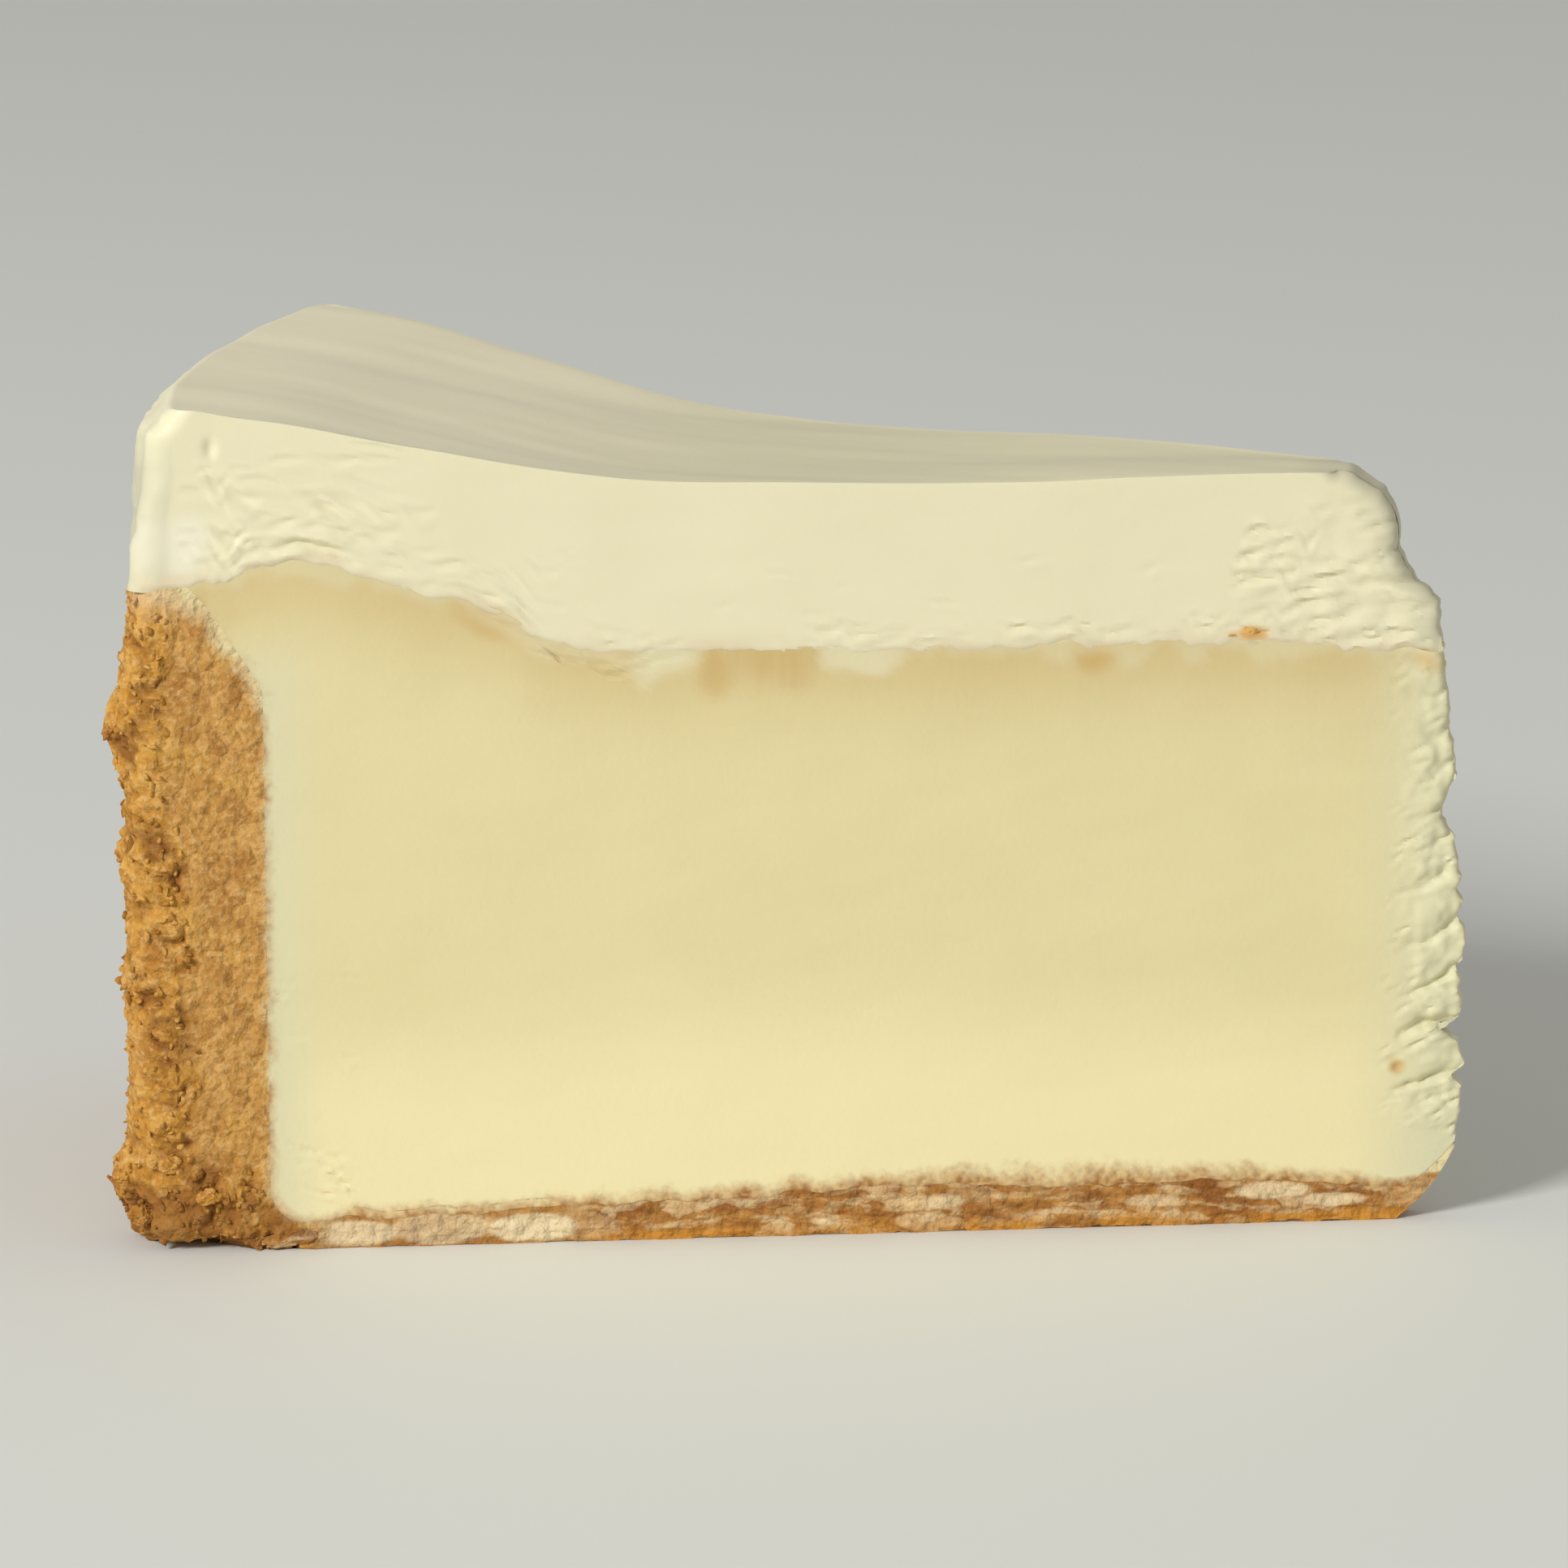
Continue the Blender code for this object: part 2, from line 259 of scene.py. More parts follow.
class Nodes:
    """Builds a node tree: each call adds a node and gives its output, for the next call to take."""

    def __init__(self, tree):
        self.tree = tree

    def fill(self, node, inputs):
        """Links or sets the node's inputs, keyed by name or number."""
        for key, value in dict(inputs).items():
            if isinstance(value, bpy.types.NodeSocket):
                self.tree.links.new(value, node.inputs[key])
            else:
                node.inputs[key].default_value = value

    def add(self, kind, inputs=(), output=0, **settings):
        """Any node. It gives the output of that name or number, or all of them for None."""
        node = self.tree.nodes.new(kind)
        for name, value in settings.items():
            setattr(node, name, value)
        self.fill(node, inputs)
        return node.outputs if output is None else node.outputs[output]

    def maths(self, operation, *values):
        """A sum on numbers."""
        return self.add("ShaderNodeMath", dict(enumerate(values)), operation=operation)

    def vectors(self, operation, first, second):
        """A sum on vectors; SCALE takes a number second."""
        inputs = {0: first, 3 if operation == "SCALE" else 1: second}
        return self.add("ShaderNodeVectorMath", inputs, operation=operation)

    def mask(self, name):
        """A mask that the mesh carries."""
        if self.tree.type == "GEOMETRY":
            return self.add("GeometryNodeInputNamedAttribute", {"Name": name})
        return self.add("ShaderNodeAttribute", (), "Fac", attribute_name=name)

    def noise(self, place, size, detail=3.0, output="Fac"):
        """Smooth noise with lumps of about the size in millimetres."""
        inputs = {"Vector": place, "Scale": 1000 / size, "Detail": detail}
        return self.add("ShaderNodeTexNoise", inputs, output)

    def stretched(self, place, level, upright=1.0):
        """The place scaled, so that what is drawn on it lies flat or stands tall."""
        return self.add("ShaderNodeMapping", {"Vector": place, "Scale": (level, level, upright)})

    def spread(self, value, low, high, start=0.0, end=1.0, **settings):
        """start where the value is low, end where it is high, and evenly between."""
        return self.add("ShaderNodeMapRange", {0: value, 1: low, 2: high, 3: start, 4: end}, **settings)

    def blend(self, share, first, second):
        """A colour between two, each a socket or an sRGB code."""
        first, second = (linear(colour) if isinstance(colour, str) else colour for colour in (first, second))
        return self.add("ShaderNodeMix", {0: share, 6: first, 7: second}, 2, data_type="RGBA")


def linear(code):
    """A linear colour from an sRGB hex code."""
    parts = [int(code[i:i + 2], 16) / 255 for i in (1, 3, 5)]
    return (*(p / 12.92 if p <= 0.04045 else ((p + 0.055) / 1.055) ** 2.4 for p in parts), 1.0)


def new_material(name):
    """A material, its nodes, and the place of each point on its object."""
    material = bpy.data.materials.new(name)
    material.use_nodes = True
    nodes = Nodes(material.node_tree)
    return material, nodes, nodes.add("ShaderNodeTexCoord", (), "Object")


def finish_material(nodes, colour, relief, strength, depth, finish):
    """Gives the shader its colour, a bump with its depth in metres, and its finish."""
    bump = nodes.add("ShaderNodeBump", {"Height": relief, "Strength": strength, "Distance": depth})
    nodes.fill(nodes.tree.nodes["Principled BSDF"], {"Base Color": colour, "Normal": bump, **finish})


def new_tree(name, sizes):
    """A geometry tree with a mesh in and out and one named input for each size, in metres."""
    tree = bpy.data.node_groups.new(name, "GeometryNodeTree")
    tree.interface.new_socket("Geometry", in_out="INPUT", socket_type="NodeSocketGeometry")
    for size in sizes:
        tree.interface.new_socket(size, in_out="INPUT", socket_type="NodeSocketFloat")
    tree.interface.new_socket("Geometry", in_out="OUTPUT", socket_type="NodeSocketGeometry")
    nodes = Nodes(tree)
    return nodes, nodes.add("NodeGroupInput", (), None)


def grow(carrier, nodes, shape, material, sizes):
    """Ends the tree with its shape and material, and leaves what it makes of the carrier as a mesh."""
    coated = nodes.add("GeometryNodeSetMaterial", {"Geometry": shape, "Material": material})
    nodes.add("NodeGroupOutput", {"Geometry": coated}, None)
    modifier = carrier.modifiers.new(nodes.tree.name, "NODES")
    modifier.node_group = nodes.tree
    for item in nodes.tree.interface.items_tree:
        if item.in_out == "INPUT" and item.name in sizes:
            modifier[item.identifier] = float(sizes[item.name])
    depsgraph = bpy.context.evaluated_depsgraph_get()
    evaluated = carrier.evaluated_get(depsgraph)
    grown = bpy.data.meshes.new_from_object(evaluated, preserve_all_data_layers=True, depsgraph=depsgraph)
    carrier.modifiers.clear()
    carrier.data = grown
    grown.name = carrier.name
    level = np.zeros(3 * len(grown.vertices))
    grown.vertices.foreach_get("co", level)
    level[2::3] = np.maximum(level[2::3], 0.0)
    grown.vertices.foreach_set("co", level)


def seam_share(nodes, place):
    """How much cheese there is where crumb and cheese meet: soft and ragged, and the same on both sides."""
    share = nodes.mask("seam")
    for size, strength in ((2.6, 0.9), (0.7, 0.55)):
        field = nodes.maths("SUBTRACT", nodes.noise(place, size, 2.0), 0.5)
        share = nodes.maths("MULTIPLY_ADD", field, strength, share)
    return nodes.spread(share, 0.0, 1.0, interpolation_type="SMOOTHSTEP")


# Baked biscuit crumb: dry, matt and open, with no shine. The eye sees separate grains in gold, tan and brown,
# richer outside and duller where the knife smeared the butter, with painted shade in the gaps between clumps
# and a painted highlight on their crests. Over the knife marks lies a film of dragged cheese, and the thin
# base shows as flat, layered flakes.
crumb, nodes, place = new_material("baked_biscuit_crumb")
outside, strip, painted_pit_shade_and_dark_grain, painted_crest_light_and_pale_grain, heel, smear, sole, thin, torn = (
    nodes.mask(name) for name in ("rough", "strip", "painted_pit_shade_and_dark_grain", "painted_crest_light_and_pale_grain", "heel", "smear", "sole", "thin", "torn"))
bend = nodes.vectors("MULTIPLY", nodes.noise(place, 2.2, 2.0, "Color"), 3 * (0.0016,))
bent = nodes.vectors("ADD", bend, place)
leaf_cells = {"Vector": nodes.stretched(bent, 0.36), "Scale": 1000 / 1.1}
leaf = nodes.add("ShaderNodeTexVoronoi", leaf_cells, "Color")
leaf = nodes.add("ShaderNodeSeparateColor", {0: leaf}, "Green")
leaf_edge = nodes.add("ShaderNodeTexVoronoi", leaf_cells, "Distance", feature="DISTANCE_TO_EDGE")
slab = nodes.noise(nodes.stretched(place, 0.2), 1.5, 2.0)
patch = nodes.noise(place, 4.2)
grain = nodes.add("ShaderNodeTexVoronoi", {"Vector": place, "Scale": 1000 / 1.25}, None)
shade = nodes.add("ShaderNodeSeparateColor", {0: grain["Color"]}, "Red")
speck = nodes.noise(place, 0.55)
flake = nodes.noise(nodes.stretched(place, 0.35), 0.95)
no_strip = nodes.maths("SUBTRACT", 1.0, strip)
soaked = seam_share(nodes, place)
colour = nodes.blend(outside, "#C2904A", "#C28A35")
colour = nodes.blend(strip, colour, "#B5803F")
for field, low, high, amount, where, code in (
    (patch, 0.52, 0.7, 0.6, no_strip, "#D2A04A"),
    (patch, 0.48, 0.32, 0.65, no_strip, "#A56D2F"),
    (shade, 0.66, 1, 0.45, no_strip, "#D8AC67"),
    (shade, 0.34, 0, 0.45, no_strip, "#9C682E"),
    (speck, 0.54, 0.66, 0.45, no_strip, "#DDB67C"),
    (speck, 0.46, 0.34, 0.45, no_strip, "#8F5D2B"),
    (slab, 0.53, 0.64, 0.7, strip, "#DDB67C"),
    (slab, 0.47, 0.36, 0.75, strip, "#8A5224"),
    (leaf, 0.6, 0.76, 0.35, strip, "#E6D0A4"),
    (leaf, 0.4, 0.2, 0.45, strip, "#9E652E"),
    (leaf_edge, 0.12, 0.02, 0.35, strip, "#84501F"),
    (flake, 0.53, 0.66, 0.5, strip, "#E8D2A2"),
    (flake, 0.48, 0.36, 0.55, strip, "#7C4A20"),
    (torn, 0, 1, 0.6, strip, "#B5803F"),
    (thin, 0, 1, 0.85, strip, "#E8D4AA"),
    (sole, 0, 1, 0.85, strip, "#C88A32"),
    # Painted highlight on the relief's crests and painted shade in its hollows; on loose grains and lumps the
    # same marks are lighter and darker tones.
    (painted_crest_light_and_pale_grain, 0.1, 1, 0.6, no_strip, "#DDB266"),
    (painted_pit_shade_and_dark_grain, 0.05, 0.8, 0.8, no_strip, "#7E4D1C"),
    (heel, 0, 1, 0.7, heel, "#875524"),
    (smear, 0, 1, 0.92, smear, "#D6C096"),
    (soaked, 0, 1, 1, soaked, "#DCCD9C"),
):
    share = nodes.spread(field, low, high, 0.0, amount)
    if field is not where:
        share = nodes.maths("MULTIPLY", share, where)
    colour = nodes.blend(share, colour, code)
finish_material(nodes, colour, nodes.maths("SUBTRACT", speck, grain["Distance"]), 0.8, 0.0004,
                {"Roughness": 0.86, "Specular IOR Level": 0.25})

# The section: the outer line runs from the lip under the tip along the base and up the wall, and the
# inner line follows it at the crust's thickness.
BASE_SPAN = (5.8, 108.4)
base_curve = curve_through(((BASE_SPAN[0], 3.4), (16.0, 4.2), (40.5, 4.6), (57.0, 4.8), (76.0, 3.9),
                            (92.5, 3.3), (BASE_SPAN[1], 2.8)))
TIP_CORNER = np.array(((7.3, 0.0), (1.8, 7.0)))
TIP_CORNER_BULGE = 0.6


def base_top(radius):
    """The upper face of the thin base, uneven where crumbs stand up into the cheese."""
    radius = np.atleast_1d(radius)
    row = pairs(radius, 0 * radius)
    uneven = waves(row, (0.30, 3.2, 16), (0.26, 1.1, 17))
    return base_curve(radius) + uneven * fade(radius, BASE_SPAN[0], 10.0) * fade(radius, BASE_SPAN[1], 104.0)


def tip_corner(t, inset):
    """Points on the worn corner under the tip, t running up it, moved inwards by the inset."""
    t = np.asarray(t, float)
    along = TIP_CORNER[1] - TIP_CORNER[0]
    inward = np.array((along[1], -along[0])) / np.hypot(*along)
    depth = inset - TIP_CORNER_BULGE * 4 * t * (1 - t)
    return TIP_CORNER[0] + np.outer(t, along) + np.outer(depth, inward)


def taper_radius(height):
    """The wall's inner face above the taper's foot, where it leans out to end under the topping."""
    rise = (np.asarray(height) - TAPER_FOOT) / (WALL_TOP[1] - TAPER_FOOT)
    return WALL_INSIDE + (WALL_TOP[0] - WALL_TOP_LAND - WALL_INSIDE) * rise ** TAPER_POWER


def quarter_turn(start, end, count):
    """A quarter of an ellipse that leaves start along the radius and reaches end upright."""
    turn = np.linspace(0, math.pi / 2, count)
    radius = start[0] + (end[0] - start[0]) * np.sin(turn)
    height = end[1] + (start[1] - end[1]) * np.cos(turn)
    return pairs(radius, height)


FOOT_REACH = 2.8
FOOT_TOP = 6.0
LIP_START = 0.35
LIP_EDGE = 0.6
HEEL_ROUND = 1.2
foot_start = (WALL_INSIDE - FOOT_REACH, base_top(WALL_INSIDE - FOOT_REACH)[0])
wall_foot = quarter_turn(foot_start, (WALL_INSIDE, FOOT_TOP), 12)
taper_heights = np.linspace(TAPER_FOOT, WALL_TOP[1], 20)
wall_taper = pairs(taper_radius(taper_heights), taper_heights)
lip_t = np.linspace(1, LIP_START, 12)
lip_inner = tip_corner(lip_t, LIP_EDGE + 1.4 * (1 - lip_t) / (1 - LIP_START))
base_radii = np.linspace(lip_inner[-1, 0], foot_start[0], 400)
base_inner = pairs(base_radii, base_top(base_radii))

LIP_CELLS, BASE_CELLS, HEEL_CELLS, WALL_CELLS, TAPER_CELLS = 24, 280, 46, 142, 40
heel_turn = quarter_turn((CAKE_RADIUS - HEEL_ROUND, 0.0), (CAKE_RADIUS, HEEL_ROUND), 6)
taper_middle = ((CAKE_RADIUS + WALL_TOP[0]) / 2, (TAPER_FOOT + WALL_TOP[1]) / 2)
outer_parts = (
    (tip_corner(np.linspace(1, 0, 12), 0.0), LIP_CELLS),
    ((TIP_CORNER[0], (WALL_INSIDE, 0.0)), BASE_CELLS),
    (((WALL_INSIDE, 0.0), *heel_turn, (CAKE_RADIUS, FOOT_TOP)), HEEL_CELLS),
    (((CAKE_RADIUS, FOOT_TOP), (CAKE_RADIUS, TAPER_FOOT)), WALL_CELLS),
    (((CAKE_RADIUS, TAPER_FOOT), taper_middle, WALL_TOP), TAPER_CELLS),
)
inner_parts = (
    (lip_inner, LIP_CELLS),
    (base_inner, BASE_CELLS),
    (wall_foot, HEEL_CELLS),
    (((WALL_INSIDE, FOOT_TOP), (WALL_INSIDE, TAPER_FOOT)), WALL_CELLS),
    (wall_taper, TAPER_CELLS),
)


def joined_walk(parts):
    """Walks each part in its own number of cells and joins them end to end."""
    walks = [walk(outline, cells + 1) for outline, cells in parts]
    return np.concatenate([walks[0], *(part[1:] for part in walks[1:])])


outer, inner = joined_walk(outer_parts), joined_walk(inner_parts)
inner_line = inner.copy()
tuck = inner - outer
tuck /= np.maximum(np.hypot(*tuck.T), 0.1)[:, None]
inner = inner + tuck * LAYER_OVERLAP
THICKNESS_CELLS = 34
through = (np.linspace(0, 1, THICKNESS_CELLS + 1) ** 1.2)[None, :, None]
section = outer[:, None, :] * (1 - through) + inner[:, None, :] * through

EDGE_CELLS, ROUND_CELLS = 20, 144
FINE_SPAN = math.radians(2.2)
angles = np.concatenate((np.linspace(-HALF_ANGLE, FINE_SPAN - HALF_ANGLE, EDGE_CELLS + 1)[:-1],
                         np.linspace(FINE_SPAN - HALF_ANGLE, HALF_ANGLE - FINE_SPAN, ROUND_CELLS + 1),
                         np.linspace(HALF_ANGLE - FINE_SPAN, HALF_ANGLE, EDGE_CELLS + 1)[1:]))
last_row = len(outer) - 1
heel_row = LIP_CELLS + BASE_CELLS + HEEL_CELLS // 2
covered = (
    (1, 0, LIP_CELLS, heel_row, 20, 20),
    (1, -1, 0, last_row, 12, 16),
    (0, 0, 0, THICKNESS_CELLS, 17, 20),
    (0, -1, 0, THICKNESS_CELLS, 17, 20),
)
radius, height, angle, faces = swept_skin(section, angles, covered)


def into_cheese(places):
    """How far each point lies past the line where the crust meets the cheese; it is negative in the crust."""
    away, _, left = gap_to(places, inner_line[::2])
    return np.where(left, away, -away)


places = pairs(radius, height)
plain = stand(radius, angle, height)
near_depth, far_depth = cut_depths(radius, angle)
on_cut = bell(np.minimum(near_depth, far_depth), 0.6)
past_line = into_cheese(places)


def seam_place(radius, height, past_line):
    """Where a point lies in the blend from crumb to cheese: 0 at its start in the crust, 1 at its end."""
    in_wall = fade(radius, *WALL_START)
    high = fade(height, 49.0, 54.0) * in_wall
    crust_side = 0.5 + 0.5 * in_wall + 2.2 * high
    cheese_side = 1.4 + 0.9 * bell(radius - 38.0, 13.0)
    cheese_side += (0.8 - cheese_side) * in_wall
    worn_tip = fade(radius, 9.5, 7.0) * fade(height, 3.8, 5.8)
    return (past_line + crust_side) / (crust_side + cheese_side) + 3 * worn_tip


# Flat leaves of biscuit along the base: the middle and half sizes of each, and how pale it is.
BASE_LEAVES = (
    ((104.3, 1.4), (4.5, 1.2), 0.90), ((95.6, 1.7), (4.7, 1.5), 0.55), ((87.6, 1.5), (4.1, 1.3), 1.0),
    ((49.5, 2.9), (1.8, 0.7), 0.6), ((30.0, 2.4), (2.6, 0.6), 0.5), ((18.9, 3.1), (3.5, 0.8), 0.8),
    ((13.2, 2.1), (3.2, 0.6), 0.7),
)
in_wall = fade(radius, *WALL_START)
from_rim = CAKE_RADIUS - radius + waves(plain, (1.3, 5.0, 7), (0.5, 1.6, 8))
broken_edge = np.maximum(fade(from_rim, 2.4, 0.6),
                         fade(height + 2.0 * wander(plain, 3.0, 13), 9.0, 6.0) * in_wall)
ragged = waves(places, (0.6, 2.4, 5), (0.4, 0.9, 6))
leaves, pale_leaves = np.zeros(len(radius)), np.zeros(len(radius))
for middle, halves, paleness in BASE_LEAVES:
    leaf = fade(np.hypot(*((places - middle) / halves).T) + 0.12 * ragged, 1.15, 0.85)
    leaves = np.maximum(leaves, leaf)
    pale_leaves = np.maximum(pale_leaves, leaf * paleness)
worn_tip = fade(radius, 9.0, 7.5) * fade(height + 0.5 * ragged, 3.8, 5.4)
cut_smear = on_cut * 0.8 * fade(height + 1.6 * ragged, 58.5, 62.0)
rim_smear = 0.7 * fade(radius, 116.0, 119.0) * fade(height + 0.9 * wander(plain, 1.8, 15), 59.0, 61.6)
sole_height = height + 0.5 * wander(places * (0.35, 1.0), 1.2, 14)
sole_patches = 0.25 + 0.75 * fade(wander(places * (1.0, 0.0), 7.0, 18), -0.4, 0.1)
loose = np.maximum(0.5 * (1 - on_cut), on_cut * broken_edge)
heel = fade(height + 1.6 * wander(plain, 3.0, 9), 8.5, 4.0) * fade(wander(plain, 1.6, 10), -0.7, 0.2)
masks = {
    "rough": in_wall * (1 - on_cut * (1 - broken_edge)),
    "strip": (1 - in_wall) * on_cut,
    "heel": heel * in_wall,
    "smear": np.maximum(cut_smear, rim_smear),
    "seam": np.maximum(np.where(on_cut > 0.5, seam_place(radius, height, past_line), -1.0), 2 * worn_tip - 1),
    "sole": fade(sole_height, 1.5, 0.5) * fade(radius, 84.0, 78.0) * sole_patches,
    "thin": pale_leaves * (1 - in_wall) * on_cut,
    "torn": np.maximum((1 - leaves) * fade(radius, 80.0, 85.0), 0.8 * fade(radius, 9.5, 7.0)) * (1 - in_wall),
    "litter": in_wall * loose * fade(height, 61.4, 59.4) * fade(past_line, -0.2, -0.9),
}
proud = np.zeros(len(radius))
for degrees, proud_height, stands_out in PROUD_CRUMBS:
    around = CAKE_RADIUS * (angle - math.radians(degrees))
    proud += stands_out * bell(np.hypot(around, height - proud_height), PROUD_SPREAD)
points = stand(worn_rim(radius, angle, height) + proud * fade(radius, 116.0, CAKE_RADIUS), angle, height)
points[:, 2] += 1.2 * fade(radius, 112.5, 116.0) * fade(near_depth, 6.0, 0.5) * fade(height, 7.0, 0.0)
tucked = -0.02 * fade(past_line, -1.0, -0.3)
points = push_cuts(points, radius, angle, tucked, tucked)
calm_reach = 1.5 + 1.4 * in_wall * fade(height, 12.0, 7.0) + 2.4 * in_wall * fade(height, 48.0, 54.0)
calm = fade(past_line, -0.45, -calm_reach) * (1 - 0.7 * fade(height, 59.0, 61.5))
relief = np.where(on_cut > 0.5, 0.24 + 0.76 * broken_edge * in_wall, 1.0)
masks["amount"] = relief * calm * fade(radius, 2.0, 14.0)
crust = mesh_piece("crumb_crust_pressed", points, faces, masks, crumb)

# Hand pressing leaves clumps of a few millimetres with deep gaps between them, and grains on each clump;
# the base tears into flat flakes.
PRESSED_SIZES = {"Clump size": 0.0036, "Grain size": 0.0010, "Clump height": 0.0032, "Grain height": -0.0006,
                 "Gap depth": -0.0006, "Flake height": 0.0036}
nodes, sizes = new_tree("pressed_crumb", PRESSED_SIZES)
here = nodes.add("GeometryNodeInputPosition")
warp = nodes.vectors("SCALE", nodes.noise(here, 1 / 0.7, 2.0, "Color"), 0.0016)
laid = nodes.vectors("ADD", here, warp)
clump_scale = nodes.maths("DIVIDE", 1.0, sizes["Clump size"])
grain_scale = nodes.maths("DIVIDE", 1.0, sizes["Grain size"])
clumped = {"Vector": laid, "Scale": clump_scale}
clumps = nodes.add("ShaderNodeTexNoise", {**clumped, "Detail": 5.0, "Roughness": 0.62}, "Fac")
gaps = nodes.add("ShaderNodeTexVoronoi", clumped, "Distance", feature="DISTANCE_TO_EDGE")
grained = {"Vector": laid, "Scale": grain_scale, "Smoothness": 0.5}
grains = nodes.add("ShaderNodeTexVoronoi", grained, "Distance", feature="SMOOTH_F1")
flakes = nodes.noise(nodes.vectors("MULTIPLY", here, (0.22, 0.22, 1.0)), 1 / 1.1)
some = nodes.spread(nodes.noise(here, 1 / 0.33, 1.0), 0.45, 0.62)
gap_share = nodes.maths("MULTIPLY", nodes.spread(gaps, 0.0, 0.14, 1.0, 0.0), some)
rise = 0.0
for field, middle, size in ((clumps, 0.5, "Clump height"), (grains, 0.42, "Grain height"),
                            (gap_share, 0.0, "Gap depth")):
    rise = nodes.maths("MULTIPLY_ADD", nodes.maths("SUBTRACT", field, middle), sizes[size], rise)
flaked = nodes.maths("MULTIPLY", nodes.maths("SUBTRACT", flakes, 0.5), sizes["Flake height"])
rise = nodes.maths("MULTIPLY_ADD", flaked, nodes.mask("strip"), rise)
rise = nodes.maths("MULTIPLY", rise, nodes.mask("amount"))
shape = sizes["Geometry"]
# The relief's hollows are stored as painted shade and its crests as a painted highlight, for the crumb's
# colour.
for name, reach in (("painted_pit_shade_and_dark_grain", -0.0007), ("painted_crest_light_and_pale_grain", 0.0007)):
    inputs = {"Geometry": shape, "Name": name, "Value": nodes.spread(rise, 0.0, reach)}
    shape = nodes.add("GeometryNodeStoreNamedAttribute", inputs, domain="POINT")
offset = nodes.vectors("SCALE", nodes.add("GeometryNodeInputNormal"), rise)
shape = nodes.add("GeometryNodeSetPosition", {"Geometry": shape, "Offset": offset})
grow(crust, nodes, shape, crumb, PRESSED_SIZES)
crust.data.set_sharp_from_angle(angle=math.radians(48.0))
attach(crust, "root")
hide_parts("crumb_crust")

# Loose grains. Crumbs that the pressing and the knife left standing on the crust's outside and along
# its broken corner, each a little uneven lump of the same biscuit, lighter or darker as it baked.
LITTER_SIZES = {"Grain radius": 0.00038, "Grains per square metre": 6.0e5}
nodes, sizes = new_tree("crumb_litter", LITTER_SIZES)
density = nodes.maths("MULTIPLY", nodes.mask("litter"), sizes["Grains per square metre"])
spots = nodes.add("GeometryNodeDistributePointsOnFaces",
                  {"Mesh": sizes["Geometry"], "Density": density, "Seed": 5}, "Points")
here = nodes.add("GeometryNodeInputPosition")
kinds = nodes.tree.nodes.new("GeometryNodeGeometryToInstance")
for kind in range(3):
    ball = nodes.add("GeometryNodeMeshUVSphere", {"Segments": 8, "Rings": 5, "Radius": sizes["Grain radius"]})
    push = nodes.add("ShaderNodeTexNoise", {"Vector": here, "W": 3.0 * kind, "Scale": 1500.0, "Detail": 1.0},
                     "Color", noise_dimensions="4D")
    push = nodes.vectors("SCALE", nodes.vectors("ADD", push, (-0.5, -0.5, -0.5)), 0.0009)
    nodes.fill(kinds, {0: nodes.add("GeometryNodeSetPosition", {"Geometry": ball, "Offset": push})})
turn, size = (nodes.add("FunctionNodeRandomValue", {0: least, 1: most, 8: seed}, data_type="FLOAT_VECTOR")
              for least, most, seed in ((3 * (0.0,), 3 * (6.28,), 11), ((0.4, 0.4, 0.3), (1.5, 1.2, 0.8), 12)))
shade = nodes.add("FunctionNodeRandomValue", {2: 0.0, 3: 1.0, 8: 13}, 1, data_type="FLOAT")
placed = {"Points": spots, "Instance": kinds.outputs[0], "Pick Instance": True, "Rotation": turn}
shape = nodes.add("GeometryNodeInstanceOnPoints", {**placed, "Scale": size})
for name, value in (("rough", 1.0), ("painted_pit_shade_and_dark_grain", nodes.spread(shade, 0.5, 0.0, 0.0, 0.6)),
                    ("painted_crest_light_and_pale_grain", nodes.spread(shade, 0.5, 1.0, 0.0, 0.7)), ("seam", -1.0)):
    inputs = {"Geometry": shape, "Name": name, "Value": value}
    shape = nodes.add("GeometryNodeStoreNamedAttribute", inputs, domain="INSTANCE")
for kind in ("GeometryNodeRealizeInstances", "GeometryNodeSetShadeSmooth"):
    shape = nodes.add(kind, {"Geometry": shape})
grains = in_scene("loose_crumb_grains", crust.data.copy())
grow(grains, nodes, shape, crumb, LITTER_SIZES)
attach(grains, "root")

# Stray lumps. A few larger crumbs hang on the rim by the nearer cut and along its foot, and the knife
# carried two to the line under the topping. Each is (radius, angle in degrees, height), its half sizes
# and how dark it baked, and is sunk into what it sits on.
NEAR_CUT = -15.0
STRAY_LUMPS = (
    ((125.2, -13.4, 48.2), (0.8, 1.0, 0.8), 0.5), ((124.7, -13.7, 7.0), (1.2, 1.2, 1.2), 0.0),
    ((124.4, -13.3, 5.2), (0.9, 1.0, 0.9), 0.1), ((123.4, -14.2, 3.2), (1.1, 1.0, 0.9), 0.6),
    ((120.6, -14.9, 8.2), (1.1, 0.5, 0.8), 0.0), ((117.2, NEAR_CUT, 5.2), (1.1, 0.4, 0.7), 0.0),
    ((110.6, NEAR_CUT, 0.9), (1.9, 0.3, 0.6), 0.0), ((108.4, NEAR_CUT, 1.2), (1.0, 0.25, 0.7), 0.7),
    ((21.6, NEAR_CUT, 56.0), (0.8, 0.16, 0.34), 0.0), ((23.2, NEAR_CUT, 55.8), (0.6, 0.12, 0.18), 0.0),
)
LUMP_ROUGHNESS = ((0.26, 0.9), (0.20, 0.42), (0.16, 0.2), (0.07, 0.1))
ball = bmesh.new()
bmesh.ops.create_icosphere(ball, subdivisions=5, radius=1.0)
round_points = np.array([vertex.co for vertex in ball.verts])
round_faces = np.array([[vertex.index for vertex in face.verts] for face in ball.faces])
ball.free()
lump_points, lump_faces, tones = [], [], []
